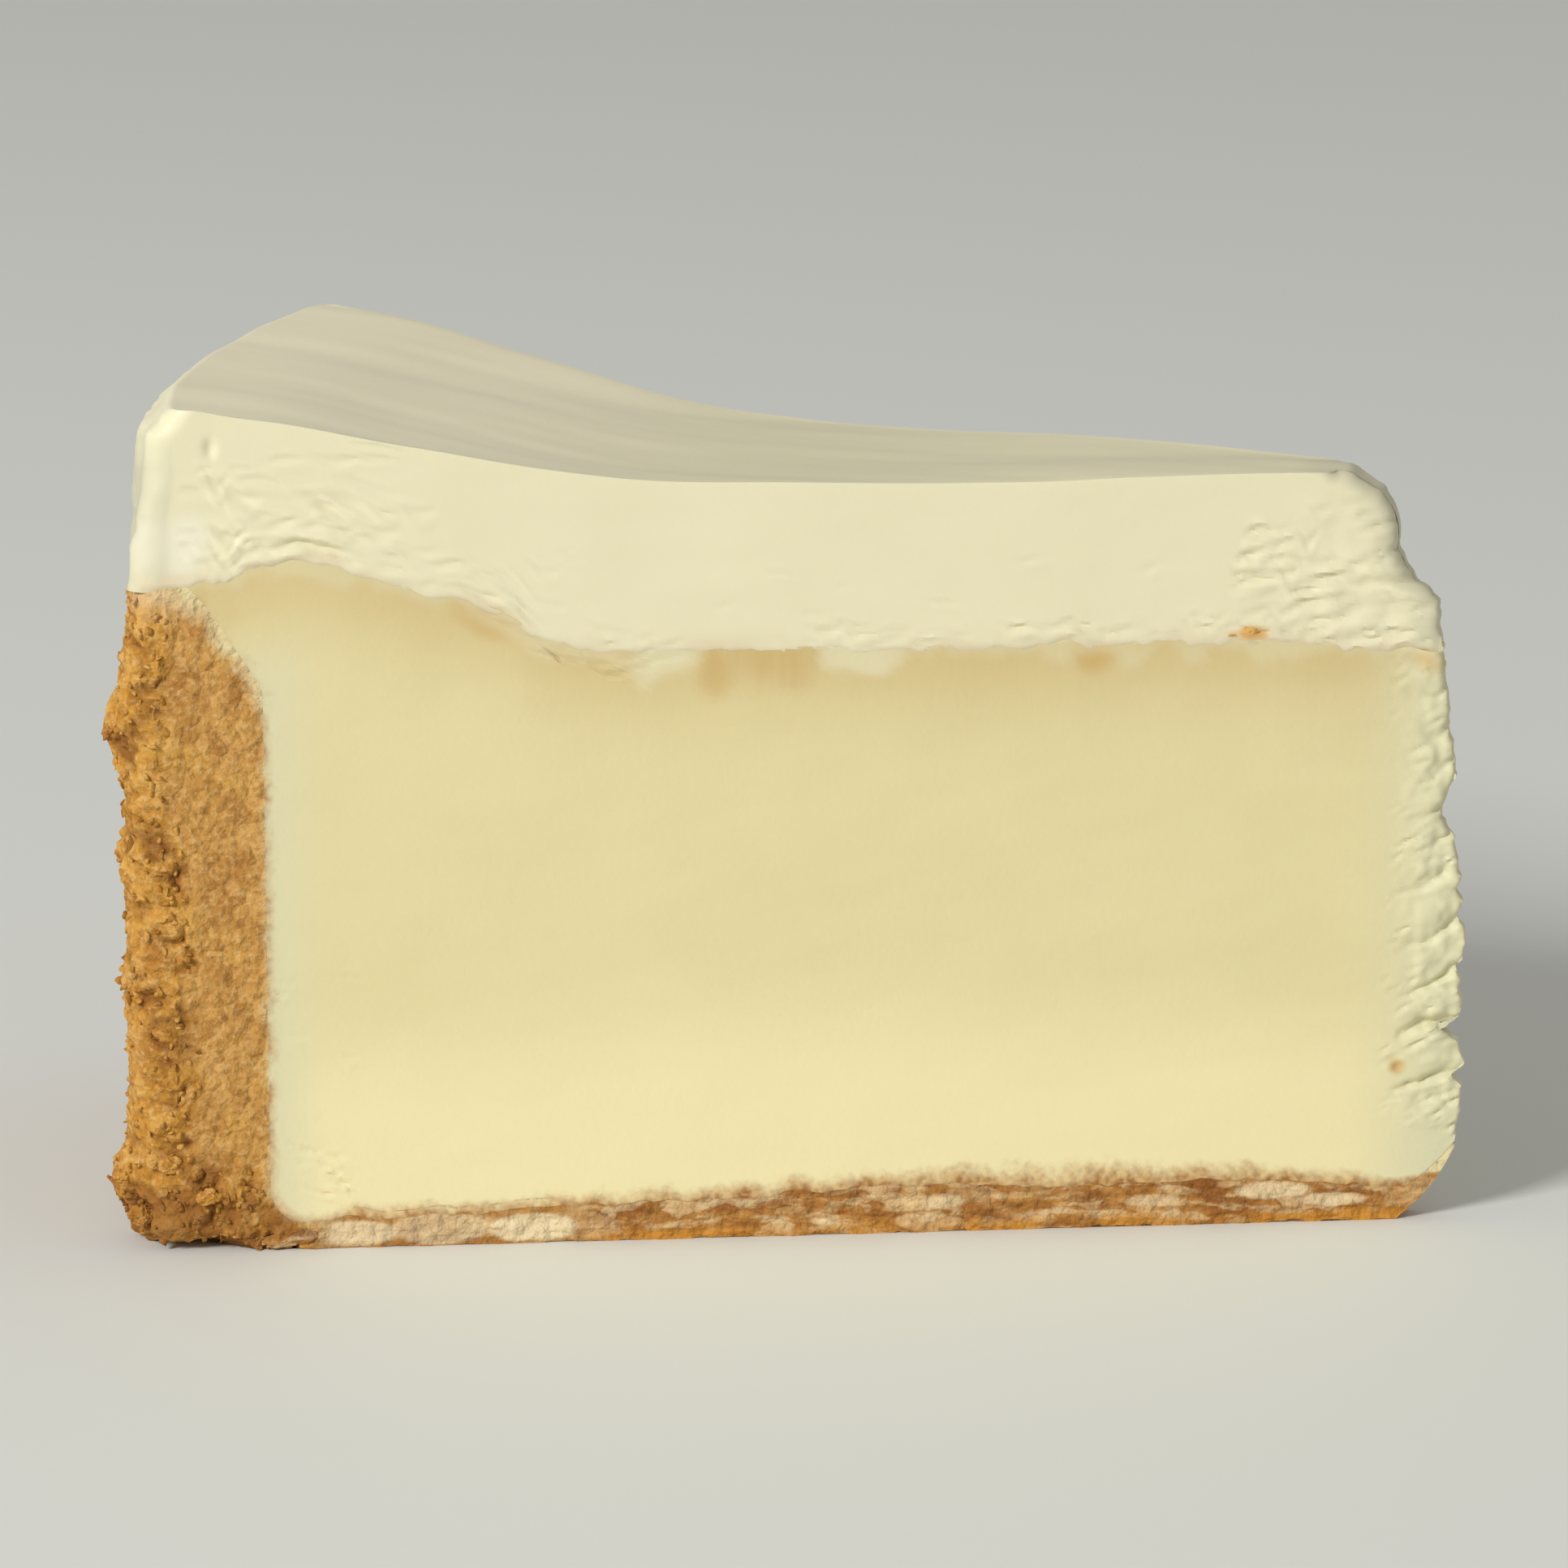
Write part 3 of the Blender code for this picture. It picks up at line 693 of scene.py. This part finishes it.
for index, ((radius, degrees, height), size, dark) in enumerate(STRAY_LUMPS):
    angle = math.radians(degrees)
    knobs = sum(share * wander(round_points, coarse, 200 + 4 * index + turn)
                for turn, (share, coarse) in enumerate(LUMP_ROUGHNESS))
    shape = round_points * (1 + knobs)[:, None] * size
    across = np.array((-math.cos(angle), math.sin(angle), 0.0))
    out = np.array((math.sin(angle), math.cos(angle), 0.0))
    centre = stand(*np.array([[radius], [angle], [height]]))
    lump_points.append(centre + shape[:, :1] * across + shape[:, 1:2] * out + shape[:, 2:] * (0, 0, 1))
    lump_faces.append(round_faces + index * len(round_points))
    tones.append((1.0, dark, 100.0 < radius < 112.0, radius < 30.0, 0.0, -1.0))
lump_points = np.concatenate(lump_points)
lump_points[:, 2] = np.maximum(lump_points[:, 2], 0)
tones = np.repeat(np.array(tones, float), len(round_points), axis=0)
masks = dict(zip(("rough", "heel", "strip", "painted_crest_light_and_pale_grain", "torn", "seam"), tones.T))
lumps = mesh_piece("stray_crumb_lumps", lump_points, np.concatenate(lump_faces).tolist(), masks, crumb)
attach(lumps, "root")


# ----------------------------------------
# The baked cheese. Cream cheese, eggs and sugar baked slowly until set: dense, smooth and pale, with a
# tan skin at its top that the oven browned. The knife drags it into small tears at the narrow tip.

filling_top = curve_through((
    (3.9, 53.8), (9.5, 54.3), (17.0, 54.6), (27.0, 55.2), (43.0, 54.9), (60.0, 55.1), (72.0, 55.4),
    (82.0, 55.6), (85.5, 56.3), (89.0, 58.8), (94.2, 60.3), (99.7, 61.8), (105.0, 63.7), (108.0, 64.0),
    (113.7, 63.0), (119.4, 62.4), (122.5, 62.4)))
FILLING_TIP = (
    (1.9, 7.2), (1.6, 10.4), (1.4, 12.8), (2.3, 13.8), (1.3, 14.7), (1.5, 16.9), (3.7, 18.6), (1.7, 19.3),
    (1.4, 20.6), (1.5, 23.3), (2.1, 23.9), (1.3, 24.8), (1.4, 27.6), (2.1, 28.8), (1.7, 30.2), (2.4, 31.2),
    (2.0, 32.4), (2.7, 36.0), (3.5, 38.3), (3.0, 41.0), (2.5, 43.7), (3.1, 47.4), (3.4, 50.0), (3.9, 54.3))


def layer_line(radius):
    """The height where filling and topping meet, ragged where the knife dragged one over the other."""
    radius = np.atleast_1d(radius)
    row = pairs(radius, 0 * radius)
    ragged = fade(radius, 3.0, 9.0) * fade(radius, 120.0, 116.0)
    return filling_top(radius) + ragged * waves(row, (0.4, 3.1, 11), (0.22, 1.1, 12))


def filled_section(bottom, top, tip, rim, along_shares, up_shares):
    """A grid of points between four edges: bottom and top run outwards, tip and rim run upwards."""
    def on(edge, shares):
        edge = walk(edge, 900)
        walked = np.linspace(0, 1, 900)
        return pairs(*(np.interp(shares, walked, edge[:, axis]) for axis in (0, 1)))

    u = along_shares[:, None, None]
    v = up_shares[None, :, None]
    low, high = on(bottom, along_shares)[:, None, :], on(top, along_shares)[:, None, :]
    left, right = on(tip, up_shares)[None, :, :], on(rim, up_shares)[None, :, :]
    ends = ((1 - u) * (1 - v) * low[0, 0] + (1 - u) * v * high[0, 0]
            + u * (1 - v) * low[-1, 0] + u * v * high[-1, 0])
    return (1 - v) * low + v * high + (1 - u) * left + u * right - ends


def tears(along, up, count, along_span, up_span, length, width, lean, seed):
    """Relief of small tears in a soft cut: each is a lens with a steep upper lip and a swollen lower one.

    They are strewn over the spans, thicker near the start of up_span, and lean is their mean slope.
    """
    dice = np.random.default_rng(seed)
    relief = np.zeros(len(along))
    for _ in range(count):
        middle = dice.uniform(*along_span)
        base = up_span[0] + (up_span[1] - up_span[0]) * dice.random() ** 1.4
        half = dice.uniform(*length) / 2
        wide = dice.uniform(*width)
        slope = lean + dice.normal(0, 0.10)
        bow = dice.normal(0, 0.5) * wide
        deep = dice.uniform(0.5, 1.0)
        near = (np.abs(along - middle) < half) & (np.abs(up - base) < half + 3 * wide)
        s = (along[near] - middle) / half
        ends = 1 - s * s
        place = up[near] - base - slope * (along[near] - middle) - bow * s * s
        place = place / (wide * np.sqrt(ends + 0.1))
        lips = 0.55 * bell(place + 1.1, 0.55) + 0.40 * bell(place - 0.55, 0.35)
        fall = np.where(place < 0, np.exp(place / 0.45), bell(place, 0.28))
        relief[near] += deep * ends * (lips - fall)
    return np.clip(relief, -1.3, 0.9)


# The knife left the tip split by short cracks that climb towards it. Each has its route as (radius,
# height), its depth and its width where it opens.
TIP_CRACKS = (
    (((8.1, 31.0), (5.6, 31.7), (3.4, 32.9)), 0.35, 0.35),
    (((6.9, 26.0), (4.1, 26.8), (2.4, 28.5), (1.2, 29.2)), 0.55, 0.35),
    (((7.2, 21.2), (5.6, 21.9), (3.9, 22.9), (2.4, 23.8), (0.8, 23.9)), 0.75, 0.38),
    (((7.3, 17.6), (6.0, 18.5), (4.5, 18.9), (2.7, 18.9), (0.6, 18.5)), 1.0, 0.55),
    (((7.8, 12.1), (6.2, 13.0), (4.0, 13.5), (2.2, 14.1), (0.6, 13.8)), 0.75, 0.38),
    (((5.2, 11.3), (3.2, 11.9)), 0.3, 0.25), (((4.8, 35.3), (3.3, 36.4), (1.8, 37.3)), 0.4, 0.3),
    (((5.4, 38.3), (4.0, 38.9), (1.8, 40.4)), 0.35, 0.3), (((4.4, 42.4), (3.0, 43.5), (1.2, 44.3)), 0.4, 0.3),
    (((4.6, 45.7), (3.2, 46.3), (1.6, 47.6)), 0.35, 0.3), (((6.0, 49.4), (4.6, 49.7), (2.6, 50.9)), 0.3, 0.3),
)

# Baked cream cheese: a dense, slightly waxy set custard. Light goes a little way in, so edges glow and
# shadows stay soft; the cut is satin, smooth between fine knife marks. Its top browned in the oven.
cheese, nodes, place = new_material("baked_cream_cheese")
streak = nodes.spread(nodes.noise(nodes.stretched(place, 1.0, 0.10), 1.5, 2.0), 0.30, 0.66, 0.25)
crumbs = nodes.blend(nodes.spread(nodes.noise(place, 0.8), 0.36, 0.64), "#A06C36", "#D4AE74")
colour = nodes.blend(nodes.noise(place, 9.0), "#DED29D", "#E4D8A7")
# edge greys the cheese near the tip and the wall; at the tip this is partly painted shade.
# low lightens the lower cheese, partly the bake and partly painted bounce light from the floor.
for mask, code in (("low", "#EDE1B0"), ("toast", "#D3BE88"), ("edge", "#DAD5AF"),
                   ("gold", "#CBA866"), ("streaks", "#CBAD70"), ("veil", "#E0D8B2")):
    share = nodes.mask(mask)
    if mask == "streaks":
        share = nodes.maths("MULTIPLY", share, streak)
    colour = nodes.blend(share, colour, code)
colour = nodes.blend(seam_share(nodes, place), crumbs, colour)
DAIRY = {"Specular IOR Level": 0.3, "Subsurface Weight": 0.2, "Subsurface Scale": 0.0012}
finish_material(nodes, colour, nodes.noise(place, 0.6), 0.25, 0.00012,
                {**DAIRY, "Roughness": 0.55, "Subsurface Radius": (1.0, 0.75, 0.4)})

CHEESE_OVERLAP = 0.3
cheese_edge = inner_line - tuck * CHEESE_OVERLAP
bottom_line, wall_line = np.split(cheese_edge, [LIP_CELLS + BASE_CELLS + 1])
wall_line = np.concatenate((bottom_line[-1:], wall_line))
tip_line = walk(FILLING_TIP, 240)
tip_wander = waves(tip_line, (0.30, 2.4, 31), (0.22, 0.8, 32))
tip_line[:, 0] = np.maximum(tip_line[:, 0] + tip_wander * np.sin(np.linspace(0, math.pi, 240)) ** 0.3, 0.45)
tip_line[0] = bottom_line[0]
top_radii = np.linspace(tip_line[-1, 0], wall_line[-1, 0], 500)
under_cream = 0.6 * fade(top_radii, 5.0, 9.0) * fade(top_radii, 119.6, 118.0)
top_line = pairs(top_radii, layer_line(top_radii) + under_cream)
top_line[0] = tip_line[-1]
along_shares = np.unique(np.concatenate((np.linspace(0, 0.1, 50), np.linspace(0.1, 0.92, 125),
                                         np.linspace(0.92, 1, 40))))
up_shares = np.linspace(0, 1, 205)
wall_line = np.concatenate((wall_line, top_line[-1:]))
section = filled_section(bottom_line, top_line, tip_line, wall_line, along_shares, up_shares)
angles = np.linspace(-HALF_ANGLE, HALF_ANGLE, 13)
rows, columns = len(along_shares) - 1, len(up_shares) - 1
covered = ((1, 0, 0, rows, 10, 3), (1, -1, 0, rows, 10, 3), (0, -1, 0, columns, 12, 3))
radius, height, angle, faces = swept_skin(section, angles, covered)


def rounded_edge(away, radius, wear):
    """How far a cut face falls back near a worn edge, never past the middle of the narrow tip."""
    wear = np.minimum(wear, 0.8 * radius * math.sin(HALF_ANGLE))
    across = np.maximum(wear - away, 0)
    return wear - np.sqrt(np.maximum(wear ** 2 - across ** 2, 0))

# A face is cut back by at most this share of the radius, so that the two stay apart at the tip.
DEEPEST = 0.17
LEVEL_GRAIN = (0.4, 1.0)
TIP_PIT = (7.4, 14.7)

# Groups of tears: depth, if heights are taken from the layer line, how many, then their span of radii and
# of heights, their lengths, widths and lean, and a seed.
FILLING_TEARS = (
    (0.18, False, 20, (104.0, 110.0), (5.0, 11.0), (0.8, 2.6), (0.4, 0.6), 0.3, 7),
    (0.10, False, 5, (100.0, 110.5), (18.0, 34.0), (2.0, 5.0), (0.4, 0.7), 0.2, 8),
    (0.24, True, 14, (75.0, 91.0), (0.3, 2.4), (1.6, 4.0), (0.4, 0.7), 0.1, 11),
)


def torn_groups(groups, radius, height, from_line, seed):
    """The relief of several groups of tears."""
    return sum(depth * tears(radius, from_line if at_line else height, *spans, seed + step)
               for depth, at_line, *spans, step in groups)


def filling_face(radius, height, seed):
    """How far a cut face of the filling stands out, in millimetres."""
    places = pairs(radius, height)
    rise = 0.07 * wander(places, 14.0, seed) + 0.03 * wander(places * LEVEL_GRAIN, 2.0, seed + 1)
    at_tip = fade(radius, 8.5, 4.0) * fade(height, 8.0, 11.0)
    bent = places + 0.22 * pairs(wander(places, 1.0, seed + 2), wander(places, 1.0, seed + 3))
    nearest = np.full(len(radius), 9.0)
    cracks = np.zeros(len(radius))
    near = radius < 12
    for route, depth, width in TIP_CRACKS:
        away, along, left = gap_to(bent[near], route)
        wide = width * (0.5 + 0.5 * along)
        groove = bell(away, wide) - 0.30 * bell(away - 2.2 * wide, 1.3 * wide) * left
        cracks[near] += depth * (0.15 + 0.85 * along ** 0.7) * groove
        nearest[near] = np.minimum(nearest[near], away)
    puff = 1 - bell(nearest, 1.0)
    rise += at_tip * (0.30 * puff + waves(places, (0.16, 1.5, seed + 4), (0.12, 0.7, seed + 5)))
    rise -= cracks + 0.3 * bell(np.hypot(*(places - TIP_PIT).T), 0.4)
    rise += 0.20 * fade(radius, 10.0, 7.0) * tears(radius, height, 70, (1.5, 9.0), (9.0, 54.0), (1.0, 2.8),
                                                   (0.40, 0.7), -0.45, seed + 6)
    under = layer_line(radius) - height
    rise += torn_groups(FILLING_TEARS, radius, height, under, seed)
    from_tip, _, _ = gap_to(places[near], tip_line[::4])
    rise[near] -= rounded_edge(from_tip, radius[near], 0.9)
    rise = 0.02 + (rise - 0.02) * fade(into_cheese(places), -0.2, 1.2) - 0.35 * fade(under, -0.3, -0.6)
    return np.maximum(rise, -DEEPEST * radius)


rises = [filling_face(radius, height, seed) for seed in (41, 61)]
points = push_cuts(stand(worn_rim(radius, angle, height), angle, height), radius, angle, *rises)

# The oven browned the top unevenly: gold spots under the layer line, each how strong it is, its radius
# and depth, its stretch along and down, and its reach; and streaks that ran down from one patch.
GOLD_SPOTS = (
    (0.60, (91.2, 1.2), (1.0, 1.8), (4.2, 1.0)), (0.55, (70.6, 2.4), (1.0, 0.7), (2.2, 0.5)),
    (0.75, (36.2, 0.8), (1.0, 1.1), (2.8, 0.6)), (0.45, (5.0, 0.9), (0.6, 1.0), (1.6, 0.3)),
    (0.55, (78.5, 0.2), (1.0, 1.5), (1.6, 0.4)),
)
STREAKS_AT = 66.5
seam = seam_place(radius, height, into_cheese(pairs(radius, height)))
places = pairs(radius, height + 2 * angle)
under = layer_line(radius) - height
gold = sum(strength * fade(np.hypot(*((pairs(radius, under) - middle) * stretch).T), *reach)
           for strength, middle, stretch, reach in GOLD_SPOTS)
gold += 0.85 * fade(np.hypot(*(pairs(radius, height) - TIP_PIT).T), 1.1, 0.3)
gold += 0.35 * fade(wander(places * (0.4, 1), 2.4, 77), 0.2, 0.8) * fade(under, 1.6, 0.2)
from_streaks = np.abs(radius - STREAKS_AT)
ragged = wander(places, 1.3, 72)
streaked = fade(under, 4.6 + 0.8 * ragged, 1.2 + 0.8 * ragged)
veiled = np.exp(-((radius - 75.0) / 2.8) ** 4) + np.exp(-((radius - 57.5) / 4.0) ** 4)
veil_reach = 0.5 + 1.6 * fade(wander(places * (1, 0), 3.0, 73), -0.1, 0.8) + 1.8 * veiled
veil = fade(under + 0.5 * ragged, veil_reach + 0.7, veil_reach - 0.9) * fade(from_streaks, 4.6, 6.0)
# Greyer near the tip and the wall; at the tip partly painted shade where the face turns away from the light.
edge = np.maximum(fade(radius, 13.0, 3.5), 0.8 * fade(radius, 105.5, 111.0) * fade(under, 4, 12))
masks = {
    # Paler and yellower towards the bottom: partly the bake, partly painted bounce light from the floor.
    "low": fade(height + 2.0 * wander(places, 16.0, 75), 27.0, 12.0),
    "toast": np.exp(-(np.maximum(under, 0) / 6.2) ** 1.8) * (0.92 + 0.08 * wander(places, 5.0, 76)),
    "edge": edge,
    "seam": np.where(under > 0, seam, 9.0),
    "gold": np.clip(gold, 0, 1),
    "streaks": 0.70 * fade(from_streaks + 0.9 * ragged, 6.2, 4.2) * streaked,
    "veil": veil * (0.4 + 0.45 * veiled),
}
filling = mesh_piece("baked_cheese_filling", points, faces, masks, cheese)
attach(filling, "root")
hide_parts("cheese_filling")


# ----------------------------------------
# The topping. Sweetened sour cream poured over the baked cake and set: a smooth, shallow dish on top, a
# clean side where it met the tin, and cut faces that the knife dragged into soft, overlapping flaps.

TOP_SPAN = (14.4, 119.4)
topping_top = curve_through(((TOP_SPAN[0], 70.6), (30.5, 70.6), (61.5, 70.4), (78.5, 71.0), (98.0, 74.5),
                             (109.6, 76.9), (TOP_SPAN[1], 78.0)))
TOPPING_TIP = ((3.9, 54.0), (4.1, 57.0), (4.1, 58.4), (4.8, 59.3), (6.3, 60.4), (7.2, 61.5), (8.0, 63.0),
               (8.2, 65.4), (8.6, 67.2), (9.6, 68.6), (11.4, 69.8), (12.6, 70.5), (14.4, 70.6))
TOPPING_FOOT = 123.3
SHOULDER = ((122.0, 74.9), (121.7, 75.8), (120.6, 76.7), (119.9, 77.6), (119.4, 78.0))


def cream_line(radius):
    """Where the topping's cut face ends below: on the cheese, and beyond it on the crust's flat top."""
    line = layer_line(radius)
    return line + (WALL_TOP[1] - line) * fade(radius, 119.4, 120.4)


# Set sour cream: a fine, opaque milk gel. It is ivory and nearly matt where cut, with a faint satin on
# the poured top, and light sinks into it a little, so that the drag marks have soft shadows.
cream, nodes, place = new_material("set_sour_cream")
colour = nodes.blend(nodes.noise(place, 11.0), "#E2DBB7", "#E8E1BF")
# side is painted shade: a darker grey on the rim side, its worn corner by the nearer cut, and the tip's end.
for mask, code in (("poured", "#DDD6B4"), ("lit", "#EDE5C4"), ("side", "#C9C5A8"), ("pale", "#F0ECDA"),
                   ("tan", "#DDCCA9"), ("crumb", "#D8A04E")):
    colour = nodes.blend(nodes.mask(mask), colour, code)
finish_material(nodes, colour, nodes.noise(place, 0.7), 0.2, 0.0001,
                {**DAIRY, "Roughness": 0.5, "Subsurface Radius": (1.0, 0.8, 0.5)})

side_line = np.array(((TOPPING_FOOT, WALL_TOP[1] - 0.5), *SHOULDER))
bottom_radii = np.linspace(TOPPING_TIP[0][0], TOPPING_FOOT, 500)
sag = 0.5 * fade(bottom_radii, 4.0, 9.0)
bottom_line = pairs(bottom_radii, cream_line(bottom_radii) - sag)
bottom_line[-1] = side_line[0]
tip_line = walk(TOPPING_TIP, 120)
tip_wander = waves(tip_line, (0.24, 1.9, 33), (0.22, 0.8, 34))
tip_line[:, 0] += tip_wander * np.sin(np.linspace(0, math.pi, 120)) ** 0.5
tip_line[0] = bottom_line[0]
top_radii = np.linspace(*TOP_SPAN, 200)
top_line = pairs(top_radii, topping_top(top_radii))
along_shares = np.unique(np.concatenate((np.linspace(0, 0.2, 90), np.linspace(0.2, 1, 240))))
up_shares = np.linspace(0, 1, 57)
section = filled_section(bottom_line, top_line, tip_line, side_line, along_shares, up_shares)
edge_steps = np.radians((0.0, 0.12, 0.26, 0.42, 0.62, 0.88, 1.2, 1.6))
inner_angle = HALF_ANGLE - math.radians(2.0)
angles = np.concatenate((edge_steps - HALF_ANGLE, np.linspace(-inner_angle, inner_angle, 62),
                         HALF_ANGLE - edge_steps[::-1]))
covered = ((1, 0, 0, len(along_shares) - 1, 10, 11),)
radius, height, angle, faces = swept_skin(section, angles, covered)

# Groups of tears, as in the filling, here with heights taken upwards from the topping's lower edge.
TOPPING_TEARS = (
    (0.20, True, 54, (88.0, 120.0), (0.2, 4.2), (2.2, 6.5), (0.5, 1.2), 0.0, 2),
    (0.24, False, 40, (97.0, 120.5), (63.5, 72.0), (2.0, 6.5), (0.6, 1.4), 0.28, 3),
    (0.16, False, 7, (100.0, 119.0), (72.5, 75.5), (2.5, 6.0), (0.5, 0.9), 0.15, 4),
    (0.27, False, 84, (5.0, 22.0), (55.0, 67.5), (1.8, 5.5), (0.5, 1.1), -0.12, 5),
    (0.26, True, 44, (18.0, 62.0), (0.3, 2.6), (2.0, 5.5), (0.5, 0.9), 0.05, 6),
    (0.26, True, 14, (74.0, 92.0), (-0.2, 2.2), (2.5, 5.5), (0.5, 0.9), 0.05, 7),
    (0.12, True, 10, (30.0, 90.0), (3.0, 9.0), (2.0, 5.0), (0.5, 0.9), 0.1, 8),
)
DIMPLE = (117.4, 74.6)


def topping_face(radius, height, seed):
    """How far a cut face of the topping stands out, in millimetres."""
    places = pairs(radius, height)
    over = height - cream_line(radius)
    rise = 0.08 * wander(places, 12.0, seed) + 0.03 * wander(places * LEVEL_GRAIN, 2.0, seed + 1)
    rise += torn_groups(TOPPING_TEARS, radius, height, over, seed)
    at_tip = fade(radius, 21.0, 12.0) * fade(height, 70.5, 66.5)
    crumpled = 0.12 * wander(places, 1.8, seed + 9) + 0.16 * wander(places * LEVEL_GRAIN, 0.9, seed + 10)
    rise += at_tip * crumpled
    from_tip, _, _ = gap_to(places[radius < 20], tip_line[::4])
    rise[radius < 20] -= rounded_edge(from_tip, radius[radius < 20], 1.5)
    ragged = waves(places, (0.5, 1.7, seed + 11), (0.3, 0.7, seed + 12))
    rise -= 0.35 * bell(np.hypot(*(places - DIMPLE).T), 0.8)
    rise += np.maximum(-0.15 - rise, 0) * fade(over, 1.9, 1.0)
    rise = 0.07 + rise * fade(over, -0.2, 0.9) - 0.32 * fade(over + 0.45 * ragged, 0.15, -0.4)
    return np.maximum(rise, -DEEPEST * radius)


rises = [topping_face(radius, height, seed) for seed in (81, 101)]
surface = topping_top(np.clip(radius, *TOP_SPAN))
on_top = fade(height, surface - 0.8, surface)
over = height - cream_line(radius)
spread = stand(radius, angle, height)[:, :2]
swirl = pairs(spread[:, 0] + 0.5 * spread[:, 1], spread[:, 1] * 1.2)
dished = 0.22 * np.sin(radius * 0.09 + angle * 6.0) * np.cos(angle * 9.0)
dished += 0.20 * wander(swirl * (0.35, 1.0), 8.0, 121) + 0.07 * wander(swirl * (0.3, 1.0), 3.4, 122)
height = height + on_top * dished
plain = stand(radius, angle, height)
ripple = 0.32 * wander(plain * (1, 1, 0.6), 4.0, 123) + waves(plain, (0.24, 1.8, 124), (0.12, 0.9, 128))
points = stand(worn_rim(radius, angle, height) + fade(radius, 119.5, 121.0) * ripple, angle, height)
points = push_cuts(points, radius, angle, *rises)
near_depth, far_depth = cut_depths(radius, angle)
cut_share = bell(np.minimum(near_depth, far_depth), 0.8)
places = pairs(radius, height)
from_tip = radius - np.interp(height, tip_line[:, 1], tip_line[:, 0])
pale_patch = np.hypot(radius - 120.4, (height - 65.4) * 0.9) + 1.1 * wander(places, 2.2, 126)
crumb_smear = np.hypot((radius - 22.0) / 2.5, (over - 0.9) / 0.8) + 0.3 * wander(places, 1.2, 127)
masks = {
    "poured": on_top * (1 - cut_share),
    "lit": on_top * (1 - cut_share) * fade(radius, 66.0, 95.0),
    # Painted shade on the rim side and the worn near corner, and along the tip's end.
    "side": np.maximum(fade(radius, 121.5, 122.5) * (0.6 + 0.4 * fade(near_depth, 1.0, 4.0)),
                       0.7 * fade(from_tip, 4.0, 0.5)),
    "pale": 0.50 * fade(pale_patch, 3.6, 0.2) * fade(near_depth, 9.0, 1.0),
    "crumb": 0.85 * fade(crumb_smear, 1.05, 0.3) * cut_share,
    "tan": 0.7 * fade(over + 0.9 * wander(places * (0.6, 1), 2.0, 125), 1.6, -0.5) * cut_share,
}
topping = mesh_piece("set_cream_topping", points, faces, masks, cream)
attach(topping, "root")
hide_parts("cream_topping")


# ----------------------------------------
# The stage: a plain pale floor, a low window-like light from the left front, and weak light all round.

bpy.ops.mesh.primitive_grid_add(x_subdivisions=8, y_subdivisions=8, size=12.0, location=(0, 2.0, 0))
floor = bpy.context.active_object
floor.name = "floor"
board, nodes, _ = new_material("plain_painted_board")
nodes.fill(nodes.tree.nodes["Principled BSDF"], {"Base Color": linear("#E1E2DC"), "Roughness": 0.7})
floor.data.materials.append(board)

world = bpy.data.worlds.new("studio")
world.use_nodes = True
sky = {"Color": (1.0, 0.99, 0.97, 1.0), "Strength": 0.40}
Nodes(world.node_tree).fill(world.node_tree.nodes["Background"], sky)
bpy.context.scene.world = world


def soft_light(name, azimuth, elevation, distance, size, watts):
    """An area light aimed at the middle of the slice; azimuth 0 is in front and 90 is at the tip's side."""
    lamp = bpy.data.lights.new(name, "AREA")
    lamp.size = size
    lamp.energy = watts
    holder = in_scene(name, lamp)
    a, e = math.radians(azimuth), math.radians(elevation)
    holder.location = (distance * math.cos(e) * math.sin(a), -distance * math.cos(e) * math.cos(a),
                       distance * math.sin(e) + 0.03)
    holder.rotation_euler = (math.pi / 2 - e, 0.0, a)


soft_light("window_left_front", -32.0, 30.0, 2.4, 0.6, 45.6)
soft_light("bounce_right_front", 50.0, 14.0, 2.4, 1.6, 1.5)

# The camera stands nearly square to the nearer cut, a little above the slice.
CAMERA_PLACE = (0.10647, -0.65363, 0.19051)
CAMERA_AZIMUTH = 9.41
CAMERA_TILT = 12.89
camera = in_scene("camera", bpy.data.cameras.new("camera"))
camera.location = CAMERA_PLACE
camera.rotation_euler = (math.radians(90.0 - CAMERA_TILT), 0.0, math.radians(CAMERA_AZIMUTH))
camera.data.sensor_width = 36.0
camera.data.lens = 167.3
bpy.context.scene.camera = camera
bpy.context.scene.view_settings.view_transform = "Standard"
